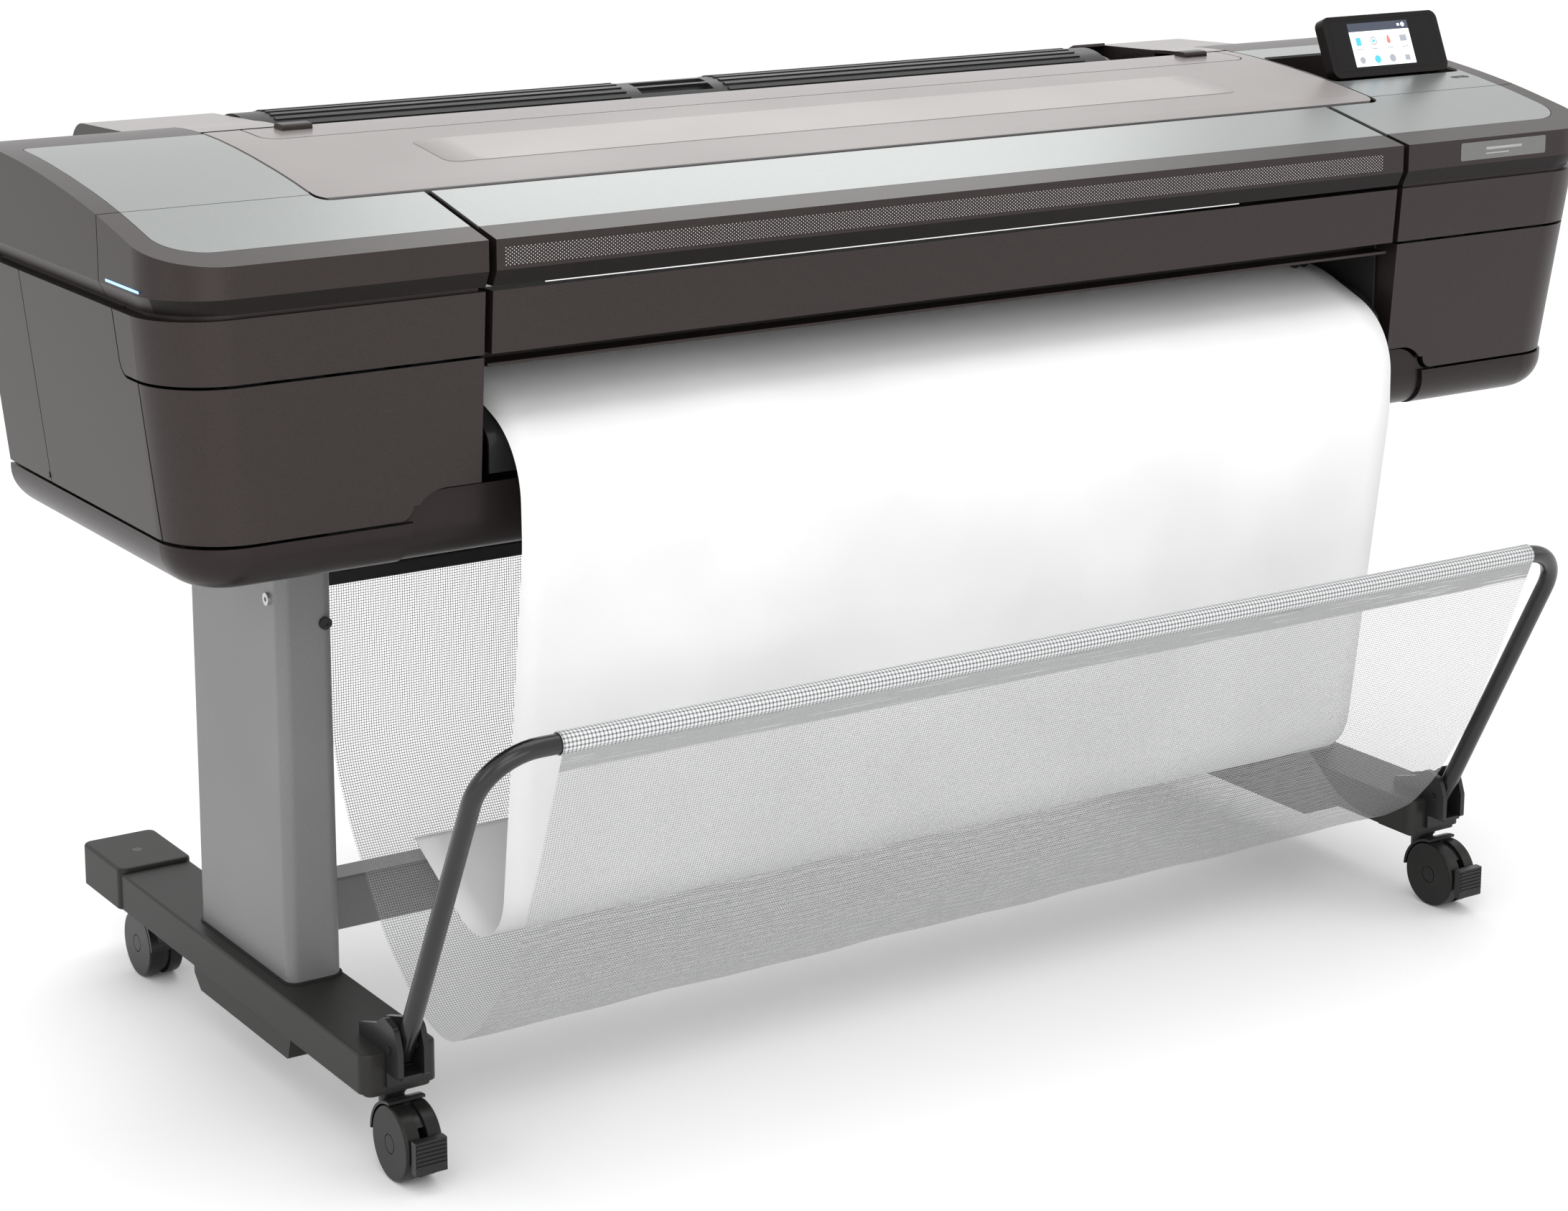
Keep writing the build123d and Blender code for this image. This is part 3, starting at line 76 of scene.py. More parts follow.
def new_material(name, color, rough, metallic=0.0, **sockets):
    """A Principled material and its node tree, with constants on the shader's own sockets."""
    made = bpy.data.materials.new(name)
    made.use_nodes = True
    shader = made.node_tree.nodes["Principled BSDF"]
    shader.inputs["Base Color"].default_value = (*color, 1)
    shader.inputs["Roughness"].default_value = rough
    shader.inputs["Metallic"].default_value = metallic
    for socket, value in sockets.items():
        shader.inputs[socket.replace("_", " ")].default_value = value
    return made, made.node_tree, shader


def add(tree, kind, **values):
    """A new shader node. A value sets the node's own setting of that name, or else its socket."""
    node = tree.nodes.new(kind)
    for key, value in values.items():
        if hasattr(node, key):
            setattr(node, key, value)
        else:
            node.inputs[key.replace("_", " ")].default_value = value
    return node


def noise(tree, scale, detail=2.0, rough=0.5, stretch=None):
    """Noise in object space, a scale of 1000 being grains of about a millimetre."""
    place = add(tree, "ShaderNodeTexCoord")
    texture = add(tree, "ShaderNodeTexNoise", Scale=scale, Detail=detail, Roughness=rough)
    source = place.outputs["Object"]
    if stretch:
        mapping = add(tree, "ShaderNodeMapping")
        mapping.inputs["Scale"].default_value = stretch
        tree.links.new(source, mapping.inputs["Vector"])
        source = mapping.outputs["Vector"]
    tree.links.new(source, texture.inputs["Vector"])
    return texture.outputs["Fac"]


def ramp(tree, source, stops):
    """A colour ramp over a factor, from (place, colour) stops."""
    node = add(tree, "ShaderNodeValToRGB")
    elements = node.color_ramp.elements
    while len(elements) < len(stops):
        elements.new(0.5)
    for element, (place, color) in zip(elements, stops):
        element.position = place
        element.color = (*color, 1)
    tree.links.new(source, node.inputs["Fac"])
    return node.outputs["Color"]


def spread(tree, source, low, high):
    """Stretches a 0 to 1 factor between two values."""
    node = add(tree, "ShaderNodeMapRange")
    node.inputs["To Min"].default_value = low
    node.inputs["To Max"].default_value = high
    tree.links.new(source, node.inputs["Value"])
    return node.outputs["Result"]


def bump(tree, shader, source, strength, distance):
    """Relief from a height factor. The distance is in metres."""
    node = add(tree, "ShaderNodeBump")
    node.inputs["Strength"].default_value = strength
    node.inputs["Distance"].default_value = distance
    tree.links.new(source, node.inputs["Height"])
    tree.links.new(node.outputs["Normal"], shader.inputs["Normal"])


def math_node(tree, operation, first, second=None):
    """One arithmetic step, on sockets or plain numbers."""
    node = add(tree, "ShaderNodeMath", operation=operation)
    for socket, value in zip(node.inputs, (first, second)):
        if value is None:
            continue
        if isinstance(value, (int, float)):
            socket.default_value = value
        else:
            tree.links.new(value, socket)
    return node.outputs["Value"]


def shade(color, factor):
    """The same colour, lighter or darker."""
    return tuple(min(1.0, c * factor) for c in color)


def moulded(name, color, rough, grain, flecks, coat=0.0, depth=0.00006, shine=0.25, tint=(1, 1, 1)):
    """Moulded plastic: fine grain in colour, gloss and relief, with slow variation over the part."""
    made, tree, shader = new_material(
        name, color, rough, Coat_Weight=coat, Coat_Roughness=COAT_ROUGH,
        Specular_IOR_Level=shine, Specular_Tint=(*tint, 1))
    fine = noise(tree, grain, 3.0, 0.6)
    slow = noise(tree, SLOW_SCALE, 2.0)
    dark, light = shade(color, 1 / flecks), shade(color, flecks)
    base = ramp(tree, fine, [(0.36, dark), (0.52, color), (0.68, light)])
    wide = ramp(tree, slow, [(0.3, (0.94, 0.94, 0.94)), (0.7, (1.05, 1.05, 1.05))])
    mix = add(tree, "ShaderNodeMix", data_type="RGBA", blend_type="MULTIPLY")
    mix.inputs["Factor"].default_value = 1.0
    tree.links.new(base, mix.inputs[6])
    tree.links.new(wide, mix.inputs[7])
    tree.links.new(mix.outputs[2], shader.inputs["Base Color"])
    tree.links.new(spread(tree, fine, rough - 0.05, rough + 0.07), shader.inputs["Roughness"])
    bump(tree, shader, fine, 0.35, depth)
    return made


def brushed(name, color, rough, stretch, metallic=0.85, strength=0.25):
    """Metal or metallic paint with fine parallel brushing."""
    made, tree, shader = new_material(name, color, rough, metallic)
    lines = noise(tree, 180.0, 4.0, 0.65, stretch)
    fine = noise(tree, METAL_GRAIN, 2.0)
    base = ramp(tree, lines, [(0.3, shade(color, 0.9)), (0.55, color), (0.8, shade(color, 1.08))])
    tree.links.new(base, shader.inputs["Base Color"])
    tree.links.new(spread(tree, fine, rough - 0.05, rough + 0.06), shader.inputs["Roughness"])
    bump(tree, shader, lines, strength, 0.00002)
    return made


def glowing(name, color, strength, rough=0.3):
    """A lit surface."""
    made, tree, shader = new_material(name, color, rough)
    shader.inputs["Emission Color"].default_value = (*color, 1)
    shader.inputs["Emission Strength"].default_value = strength
    fine = noise(tree, GLOW_GRAIN, 2.0)
    tree.links.new(spread(tree, fine, rough - 0.03, rough + 0.03), shader.inputs["Roughness"])
    return made


def threads(tree, along, pitch, width):
    """1 on the threads that cross one texture direction, 0 between them."""
    turn = math_node(tree, "FRACT", math_node(tree, "DIVIDE", along, pitch))
    from_middle = math_node(tree, "ABSOLUTE", math_node(tree, "SUBTRACT", turn, 0.5))
    return math_node(tree, "LESS_THAN", from_middle, width / pitch / 2)


def mesh_cloth(name, color, pitch, width, doubled=None):
    """Open plastic-coated netting, and a dense hem beyond v = doubled.

    The texture's u runs along the machine and v along the cloth, in metres.
    """
    made, tree, shader = new_material(name, color, 0.55)
    place = add(tree, "ShaderNodeTexCoord")
    axes = add(tree, "ShaderNodeSeparateXYZ")
    tree.links.new(place.outputs["UV"], axes.inputs["Vector"])
    u, v = axes.outputs["X"], axes.outputs["Y"]
    warp = threads(tree, u, pitch, width)
    weft = threads(tree, v, pitch, width)
    net = math_node(tree, "MAXIMUM", warp, weft)
    if doubled:
        band = math_node(tree, "GREATER_THAN", v, doubled)
        streak_place = add(tree, "ShaderNodeMapping")
        streak_place.inputs["Scale"].default_value = (9.0, 900.0, 1.0)
        tree.links.new(place.outputs["UV"], streak_place.inputs["Vector"])
        streaks = add(tree, "ShaderNodeTexNoise", Scale=1.0, Detail=2.0)
        tree.links.new(streak_place.outputs["Vector"], streaks.inputs["Vector"])
        solid = math_node(tree, "GREATER_THAN", streaks.outputs["Fac"], 0.36)
        net = math_node(tree, "MAXIMUM", net, math_node(tree, "MULTIPLY", band, solid))
    tree.links.new(net, shader.inputs["Alpha"])
    fine = noise(tree, CLOTH_GRAIN, 2.0)
    tone = ramp(tree, fine, [(0.3, shade(color, 0.8)), (0.7, shade(color, 1.25))])
    tree.links.new(tone, shader.inputs["Base Color"])
    bump(tree, shader, math_node(tree, "SUBTRACT", warp, weft), 0.12, 0.0002)
    made.surface_render_method = "DITHERED"
    return made


def woven(name, color, pitch):
    """Dense weave on a sleeve."""
    made, tree, shader = new_material(name, color, 0.6, Sheen_Weight=0.15)
    place = add(tree, "ShaderNodeTexCoord")
    axes = add(tree, "ShaderNodeSeparateXYZ")
    tree.links.new(place.outputs["UV"], axes.inputs["Vector"])
    thread = pitch * 0.62
    warp = threads(tree, axes.outputs["X"], pitch, thread)
    weft = threads(tree, axes.outputs["Y"], pitch, thread)
    both = math_node(tree, "ADD", warp, weft)
    dark, middle, light = (shade(color, factor) for factor in (0.16, 0.8, 1.5))
    tone = ramp(tree, math_node(tree, "MULTIPLY", both, 0.5), [(0.0, dark), (0.5, middle), (1.0, light)])
    tree.links.new(tone, shader.inputs["Base Color"])
    bump(tree, shader, both, 0.6, 0.0003)
    return made


BODY = (0.0115, 0.0082, 0.0078)
WARM = (1.0, 0.88, 0.86)             # tint of the body's reflections
THREAD = (0.29, 0.292, 0.295)
NET = (0.0028, 0.00066)              # pitch and width of the netting's threads, metres
SLEEVE_PITCH = 0.0042
SMOKED = dict(rough=0.34, grain=1800.0, flecks=1.04, depth=0.00001, shine=0.15)
# brushed: name, colour, roughness, stretch of the brushing, metallic, relief
# moulded: name, colour, roughness, grain, flecks
MATERIALS = {
    "body": moulded("body_speckled_plastic", BODY, 0.38, 950.0, 1.7, shine=0.42, tint=WARM),
    "pan": moulded("pan_smooth_plastic", (0.012, 0.0092, 0.0088), 0.30, 1600.0, 1.12, tint=WARM),
    "inlay": brushed("inlay_silver", (0.285, 0.300, 0.294), 0.30, (1.0, 14.0, 1.0), 0.72, 0.10),
    "window": moulded("window_smoked", (0.265, 0.246, 0.241), **SMOKED),
    "window_field": moulded("window_clear_field", (0.335, 0.318, 0.311), **SMOKED),
    "strip": moulded("strip_taupe", (0.20, 0.18, 0.176), 0.30, 1300.0, 1.10, coat=0.2),
    "column": moulded("column_grey_coating", (0.155, 0.155, 0.155), 0.40, 900.0, 1.10, shine=0.5),
    "foot": moulded("foot_dark_coating", (0.018, 0.0172, 0.0162), 0.45, 900.0, 1.25),
    "tube": brushed("tube_graphite", (0.008, 0.0082, 0.009), 0.22, (1.0, 1.0, 0.2), 0.0, 0.05),
    "black": moulded("black_plastic", (0.012, 0.012, 0.013), 0.34, 1200.0, 1.3, coat=0.15),
    "wheel": moulded("caster_black", (0.009, 0.0086, 0.0080), 0.30, 1000.0, 1.2),
    "ribbed": moulded("roll_cover_graphite", (0.022, 0.022, 0.023), 0.34, 1100.0, 1.2),
    "rail": brushed("rail_aluminium", (0.62, 0.62, 0.63), 0.30, (0.1, 1.0, 1.0)),
    "sheet_metal": moulded("frame_dark_coating", (0.018, 0.017, 0.017), 0.42, 900.0, 1.2),
    "steel": brushed("fastener_steel", (0.50, 0.50, 0.50), 0.28, (1.0, 1.0, 1.0)),
    "rubber": moulded("roller_rubber", (0.018, 0.018, 0.018), 0.65, 800.0, 1.2),
    "paper": moulded("paper_white", (0.80, 0.80, 0.80), 0.62, 2200.0, 1.015, depth=0.00001),
    "glass": moulded("screen_black_glass", (0.004, 0.004, 0.005), 0.12, 2000.0, 1.02, depth=0.0, shine=0.12),
    "panel": moulded("panel_black", (0.007, 0.0055, 0.005), 0.30, 1200.0, 1.2, shine=0.12),
    "rim": moulded("rim_speckled_plastic", BODY, 0.34, 950.0, 1.5, shine=0.5, tint=WARM),
    "bevel": moulded("bevel_shadow_black", (0.011, 0.0088, 0.0084), 0.42, 900.0, 1.3, shine=0.1),
    "bar": moulded("bar_gloss_brown", (0.020, 0.017, 0.0165), 0.22, 1300.0, 1.1, coat=0.5),
    "bright": brushed("bright_trim", (0.80, 0.80, 0.80), 0.35, (0.1, 1.0, 1.0), 0.3, 0.05),
    "cloth": mesh_cloth("basket_netting", THREAD, *NET),
    "sleeve": woven("basket_sleeve_weave", (0.42, 0.425, 0.43), SLEEVE_PITCH),
}

NODE_LOOKS = {
    "body": "lower_housing_left lower_housing_right mid_bands side_panels rear_cover_left rear_cover_right"
            " front_fascia ink_lid_left ink_lid_right trimmer_cover roll_housing",
    "pan": "bottom_pan center_panel rear_panel",
    "inlay": "lid_inlay_left lid_inlay_right rear_inlays trimmer_inlay",
    "window": "window_cover",
    "strip": "rear_strip",
    "column": "column_left column_right cross_brace",
    "foot": "foot_left foot_right",
    "tube": "basket_tube",
    "black": "basket_rail basket_clevises power_button rear_ports platen service_station carriage"
             " trimmer_carriage carriage_drive spindle ink_cartridges caster_fl_fork caster_fr_fork"
             " caster_rl_fork caster_rr_fork caster_fl_brake caster_fr_brake",
    "wheel": "caster_fl_wheels caster_fr_wheels caster_rl_wheels caster_rr_wheels",
    "ribbed": "roll_cover",
    "rail": "guide_rails feed_roller electronics_box",
    "sheet_metal": "chassis",
    "steel": "fasteners",
    "rubber": "pinch_rollers",
    "paper": "paper_roll paper_sheet",
    "glass": "touch_screen",
    "panel": "control_panel",
    "cloth": "basket_fabric_front basket_fabric_rear",
}


def dress(obj, look):
    """Gives an object one material in place of its own."""
    obj.data.materials.clear()
    obj.data.materials.append(MATERIALS[look])


def soften(obj, width):
    """Small rounded edges, so that they catch the light."""
    edge = obj.modifiers.new("soft_edges", "BEVEL")
    edge.width = width
    edge.segments = 2
    edge.limit_method = "ANGLE"
    edge.angle_limit = math.radians(35)
    edge.harden_normals = True
    edge.use_clamp_overlap = True


for look, names in NODE_LOOKS.items():
    for node_name in names.split():
        dress(NODES[node_name], look)


def second_look(node, look, chosen):
    """Gives the faces that pass a test another material. Places are in millimetres from the front face."""
    mesh = NODES[node].data
    mesh.materials.append(MATERIALS[look])
    for face in mesh.polygons:
        place = face.center / MM
        if chosen(Vector((place.x, place.y - FRONT_Y / MM, place.z)), face.normal):
            face.material_index = len(mesh.materials) - 1


BEVEL_Z = (864, 884)                 # the covers' undercut lower edge
BAR_END_Y = 158                      # rear side of the window's front bar
BRIGHT_SCREWS_Y = (215, 640)         # the columns' screws lie between these, and the others are black
HOUSING_TOP_Z = 930
HINGE_CAP_X, HINGE_CAP_HALF, HINGE_CAP_Y = (-589, 600), 18, 379


# Downward faces of the covers' undercut; they get a darker colour as painted shade.
def under_bevel(place, normal):
    return normal.z < -0.2 and normal.y < -0.3 and BEVEL_Z[0] < place.z < BEVEL_Z[1]


def on_top(place, normal):
    return normal.z > 0.5


def window_bar(place, normal):
    return place.y < BAR_END_Y and normal.z < 0.9


def front_screw(place, normal):
    return place.y < BRIGHT_SCREWS_Y[0]


def rear_screw(place, normal):
    return place.y > BRIGHT_SCREWS_Y[1]


def housing_top(place, normal):
    return normal.z > 0.7 and place.z > HOUSING_TOP_Z


def hinge_cap(place, normal):
    off_middle = min(abs(place.x - x) for x in HINGE_CAP_X)
    return place.y > HINGE_CAP_Y and off_middle < HINGE_CAP_HALF


# The undercut gets painted shade, and the top faces a glossier copy of the body.
for node_name in ("trimmer_cover", "ink_lid_left", "ink_lid_right", "rear_cover_left", "rear_cover_right"):
    second_look(node_name, "bevel", under_bevel)
    second_look(node_name, "rim", on_top)
second_look("window_cover", "bar", window_bar)
second_look("fasteners", "black", front_screw)
second_look("fasteners", "black", rear_screw)
second_look("roll_housing", "strip", housing_top)
second_look("rear_strip", "body", hinge_cap)


# ---------------------------------------------------------------- mesh tools
def piece(name, mesh, look, body):
    """A new visible piece that rides on a body. A blended piece is given no body here."""
    obj = bpy.data.objects.new(name, mesh)
    bpy.context.scene.collection.objects.link(obj)
    dress(obj, look)
    if body:
        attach(obj, body)
    return obj


def mesh_from(name, verts, faces, smooth=False):
    """A mesh with its faces turned outwards."""
    mesh = bpy.data.meshes.new(name)
    mesh.from_pydata([tuple(v) for v in verts], [], faces)
    mesh.validate()
    built = bmesh.new()
    built.from_mesh(mesh)
    bmesh.ops.recalc_face_normals(built, faces=built.faces)
    built.to_mesh(mesh)
    built.free()
    if smooth:
        mesh.shade_smooth()
    return mesh


def arc_path(points, radii, step):
    """Points along straight runs joined by tangent arcs, in one plane. Millimetres."""
    made = [Vector(points[0])]
    for i, radius in enumerate(radii, start=1):
        before, corner, after = (Vector(points[j]) for j in (i - 1, i, i + 1))
        back, ahead = (before - corner).normalized(), (after - corner).normalized()
        half = math.acos(max(-1, min(1, back.dot(ahead)))) / 2
        reach = radius / math.tan(half)
        centre = corner + (back + ahead).normalized() * (radius / math.sin(half))
        first, last = corner + back * reach, corner + ahead * reach
        turn = math.pi - 2 * half
        count = max(4, int(radius * turn / step))
        for k in range(count + 1):
            share = k / count
            a, b = first - centre, last - centre
            angle = turn * share
            spot = (a * math.sin(turn - angle) + b * math.sin(angle)) / math.sin(turn)
            made.append(centre + spot)
    made.append(Vector(points[-1]))
    return even(made, step)


def even(line, step):
    """The same line with evenly spaced points."""
    lengths = [0.0]
    for a, b in zip(line, line[1:]):
        lengths.append(lengths[-1] + (b - a).length)
    count = max(2, round(lengths[-1] / step))
    out, j = [], 0
    for k in range(count + 1):
        want = lengths[-1] * k / count
        while j < len(line) - 2 and lengths[j + 1] < want:
            j += 1
        span = lengths[j + 1] - lengths[j]
        share = (want - lengths[j]) / span if span > 1e-9 else 0.0
        out.append(line[j].lerp(line[j + 1], share))
    return out


def grid_faces(rows, columns):
    """Quads over a grid of (rows + 1) by (columns + 1) points, row by row."""
    wide = columns + 1
    starts = [i * wide + j for i in range(rows) for j in range(columns)]
    return [(a, a + 1, a + wide + 1, a + wide) for a in starts]


def web(name, line, x0, x1, columns, ripple=None):
    """A sheet swept along X, with texture coordinates in metres. Returns its mesh and its length."""
    verts, coords = [], []
    along = [0.0]
    for a, b in zip(line, line[1:]):
        along.append(along[-1] + (b - a).length)
    for i, point in enumerate(line):
        before, after = line[max(i - 1, 0)], line[min(i + 1, len(line) - 1)]
        tangent = (after - before).normalized()
        normal = Vector((-tangent.y, tangent.x))
        for j in range(columns + 1):
            x = x0 + (x1 - x0) * j / columns
            lift = ripple(x, along[i], along[-1]) if ripple else 0.0
            spot = point + normal * lift
            verts.append(at(x, spot.x, spot.y))
            coords.append((x * MM, along[i] * MM))
    mesh = bpy.data.meshes.new(name)
    mesh.from_pydata([tuple(v) for v in verts], [], grid_faces(len(line) - 1, columns))
    layer = mesh.uv_layers.new(name="UVMap")
    for loop in mesh.loops:
        layer.data[loop.index].uv = coords[loop.vertex_index]
    mesh.shade_smooth()
    return mesh, along[-1] * MM


def plate(name, outline, origin, x_dir, y_dir, thick):
    """A thin flat plate that stands thick millimetres proud. Its outline is (u, v) points in millimetres."""
    normal = x_dir.cross(y_dir).normalized()
    low = [origin + x_dir * (u * MM) + y_dir * (v * MM) for u, v in outline]
    high = [p + normal * (thick * MM) for p in low]
    count = len(outline)
    faces = [tuple(range(count)), tuple(range(2 * count - 1, count - 1, -1))]
    faces += [(i, (i + 1) % count, count + (i + 1) % count, count + i) for i in range(count)]
    return mesh_from(name, low + high, faces)


def round_rect(u0, v0, u1, v1, radius, steps=6):
    """Outline of a rounded rectangle, anticlockwise."""
    out = []
    left, right, low, high = u0 + radius, u1 - radius, v0 + radius, v1 - radius
    for cu, cv, start in ((right, low, -90), (right, high, 0), (left, high, 90), (left, low, 180)):
        for k in range(steps + 1):
            a = math.radians(start + 90 * k / steps)
            out.append((cu + radius * math.cos(a), cv + radius * math.sin(a)))
    return out


def disc(u, v, radius, steps=24):
    """Outline of a disc, anticlockwise."""
    angles = [2 * math.pi * k / steps for k in range(steps)]
    return [(u + radius * math.cos(a), v + radius * math.sin(a)) for a in angles]


def joined(name, meshes):
    """Several meshes as one."""
    built = bmesh.new()
    for mesh in meshes:
        built.from_mesh(mesh)
        bpy.data.meshes.remove(mesh)
    out = bpy.data.meshes.new(name)
    built.to_mesh(out)
    built.free()
    return out


def thicken(obj, name, thick, offset=None):
    """Gives a sheet its thickness, in metres. An offset of 0 puts half of it on each side."""
    solid = obj.modifiers.new(name, "SOLIDIFY")
    solid.thickness = thick
    if offset is not None:
        solid.offset = offset


X, Y, Z = Vector((1, 0, 0)), Vector((0, 1, 0)), Vector((0, 0, 1))


# ---------------------------------------------------------------- basket
PATH_STEP = 6.0                      # spacing of a sheet's points along its path
BAR_Y, BAR_Z = -177.0, 473.0         # the tube's bar
BAR_R = 9.75
HEM = (-186.5, 468)                  # where the netting meets the bar
# The netting in y and z, from the rear rail under the paper and up to the bar.
CLOTH_LINE = [
    (300, 522), (300, 330), (262, 258), (190, 165), (110, 106), (50, 96),
    (-12, 135), (-50, 178), (-100, 256), (-142, 352), HEM,
]
CLOTH_RADII = [130, 150, 150, 110, 70, 130, 200, 300, 300]
HEM_BAND = 0.024                     # width of the doubled band below the bar, metres
SLEEVE_GAP = 1.25                    # from the bar's surface to the middle of the sleeve
SLEEVE_THICK = 0.0009
SLEEVE_STEPS = 40


def cloth_ripple(x, along, total):
    """Faint waves, none at the rail and the bar."""
    hold = math.sin(math.pi * along / total) ** 0.7
    wave = 0.7 * math.sin(x * 0.021 + along * 0.011) + 0.5 * math.sin(x * 0.047 - along * 0.019 + 1.3)
    return wave * hold


def basket_cloth():
    """The netting, in one piece from the rear rail to the swinging bar."""
    line = arc_path(CLOTH_LINE, CLOTH_RADII, PATH_STEP)
    x0, x1 = CLOTH_LOW.x / MM, CLOTH_HIGH.x / MM
    mesh, length = web("basket_netting", line, x0, x1, 154, cloth_ripple)
    MATERIALS["cloth"] = mesh_cloth("basket_netting_banded", THREAD, *NET, length - HEM_BAND)
    cloth = piece("basket_netting", mesh, "cloth", None)
    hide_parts("basket_fabric_rear", "basket_fabric_front")
    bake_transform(cloth)


def basket_sleeve():
    """The netting's doubled hem, wrapped once round the bar."""
    radius = BAR_R + SLEEVE_GAP
    start = math.atan2(HEM[1] - BAR_Z, HEM[0] - BAR_Y)
    angles = [start - 2 * math.pi * k / SLEEVE_STEPS for k in range(SLEEVE_STEPS + 1)]
    line = [Vector((BAR_Y + radius * math.cos(a), BAR_Z + radius * math.sin(a))) for a in angles]
    x0, x1 = CLOTH_LOW.x / MM, CLOTH_HIGH.x / MM
    mesh, length = web("basket_sleeve", line, x0, x1, 60)
    sleeve = piece("basket_sleeve", mesh, "sleeve", "basket")
    thicken(sleeve, "cloth_thickness", SLEEVE_THICK, 0)


# ---------------------------------------------------------------- paper
ROLL_FRONT_Y, ROLL_Z = 474.4, 889.0  # where the paper leaves the roll
WEB_Z = 760.6                        # the paper's height over the platen
# The paper in y and z: down from the roll, over the platen, out and down into the basket.
PAPER_LINE = [
    (ROLL_FRONT_Y, ROLL_Z), (ROLL_FRONT_Y, WEB_Z), (118, WEB_Z), (-9, 712), (-11, 610), (50, 150), (230, 250),
]
PAPER_RADII = [88, 150, 84, 200, 62]
PAPER_THICK = 0.0003


def paper_ripple(x, along, total):
    """The free end lifts a little at its corners."""
    free = max(0.0, (along - total * 0.72) / (total * 0.28))
    return -free * free * 2.5 * (x / 560.0) ** 2


def paper():
    """The paper, from the roll to its free end."""
    line = arc_path(PAPER_LINE, PAPER_RADII, PATH_STEP)
    mesh, length = web("paper_web", line, PAPER_LOW.x / MM, PAPER_HIGH.x / MM, 40, paper_ripple)
    sheet = piece("paper_web", mesh, "paper", "printer")
    thicken(sheet, "paper_thickness", PAPER_THICK, 0)
    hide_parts("paper_sheet")


# ---------------------------------------------------------------- covers
def surface_of(node):
    """Finds the top surface of a CAD node under a point."""
    mesh = NODES[node].data
    spots = [v.co.copy() for v in mesh.vertices]
    tree = BVHTree.FromPolygons(spots, [tuple(p.vertices) for p in mesh.polygons])

    def top(x, y):
        hit = tree.ray_cast(Vector((x, y, 2.0)), Vector((0, 0, -1)))
        return hit[0].z if hit[0] else None
    return top


def curved_plate(name, node, x0, x1, y0, y1, radius, lift):
    """A surface with round corners that follows a CAD node's top. Its rows are closer near its ends."""
    top = surface_of(node)
    rows, count, columns = [], 60, 24
    for k in range(count + 1):
        y = y0 + (y1 - y0) * (1 - math.cos(math.pi * k / count)) / 2
        edge = min(y - y0, y1 - y)
        cut = radius - math.sqrt(max(0.0, radius ** 2 - max(0.0, radius - edge) ** 2))
        rows.append((y, x0 + cut, x1 - cut))
    verts = []
    for y, left, right in rows:
        for j in range(columns + 1):
            spot = at(left + (right - left) * j / columns, y, 0)
            spot.z = top(spot.x, spot.y) + lift * MM
            verts.append(spot)
    return mesh_from(name, verts, grid_faces(count, columns), smooth=True)


FIELD_X, FIELD_Y, FIELD_CORNER = (-507, 519), (207, 294), 14
FIELD_LIFT = 0.45                    # clears the window's own facets
FIELD_THICK = 0.0003


def window_field():
    """The window's lighter rounded field."""
    mesh = curved_plate("window_field", "window_cover", *FIELD_X, *FIELD_Y, FIELD_CORNER, FIELD_LIFT)
    obj = piece("window_field", mesh, "window_field", "window")
    thicken(obj, "field_thickness", FIELD_THICK)


DOT_ROWS, DOT_PITCH, DOT_R, DOT_SIDES = 11, 4.5, 0.5, 8
DOT_X, DOT_Z = (-556.0, 554.0), (886.6, 903.2)
DOT_FRONT, DOT_BACK = -0.12, 0.3     # from just proud of the cover to just inside it


def perforations():
    """Staggered rows of small light dots along the front cover, without backs."""
    MATERIALS["dots"] = moulded("perforation_dots", (0.66, 0.66, 0.65), 0.4, 900.0, 1.1)
    verts, faces = [], []
    for row in range(DOT_ROWS):
        z = DOT_Z[0] + (DOT_Z[1] - DOT_Z[0]) * row / (DOT_ROWS - 1)
        x = DOT_X[0] + (row % 2) * DOT_PITCH / 2
        while x < DOT_X[1]:
            first = len(verts)
            ring = disc(x, z, DOT_R, DOT_SIDES)
            verts += [at(u, y, v) for y in (DOT_FRONT, DOT_BACK) for u, v in ring]
            faces.append(tuple(range(first, first + DOT_SIDES)))
            for k in range(DOT_SIDES):
                a, b = first + k, first + (k + 1) % DOT_SIDES
                faces.append((a, b, b + DOT_SIDES, a + DOT_SIDES))
            x += DOT_PITCH
    mesh = mesh_from("front_perforation", verts, faces)
    piece("front_perforation", mesh, "dots", "trimmer_cover")


PLATE_OUTLINE = (673, 887, 806, 907.5)
PLATE_BARS = ((712, 897.5, 768, 900.5), (712, 892.5, 748, 894.0))
PLATE_PROUD, PLATE_BAR_PROUD, PLATE_EDGE = 0.4, 0.12, 0.00015


def nameplate():
    """Blank plate with softened edges and two plain bars."""
    MATERIALS["plate"] = brushed("nameplate_grey", (0.17, 0.17, 0.165), 0.38, (1.0, 1.0, 10.0), 0.5)
    MATERIALS["plate_line"] = moulded("nameplate_print", (0.34, 0.34, 0.33), 0.45, 900.0, 1.05)
    face = plate("nameplate", round_rect(*PLATE_OUTLINE, 2.0), at(0, 0, 0), X, Z, PLATE_PROUD)
    obj = piece("nameplate", face, "plate", "ink_lid_right")
    soften(obj, PLATE_EDGE)
    on_plate = at(0, -PLATE_PROUD, 0)
    bars = [plate("bar", round_rect(*bar, 0.6), on_plate, X, Z, PLATE_BAR_PROUD) for bar in PLATE_BARS]
    piece("nameplate_bars", joined("nameplate_bars", bars), "plate_line", "ink_lid_right")


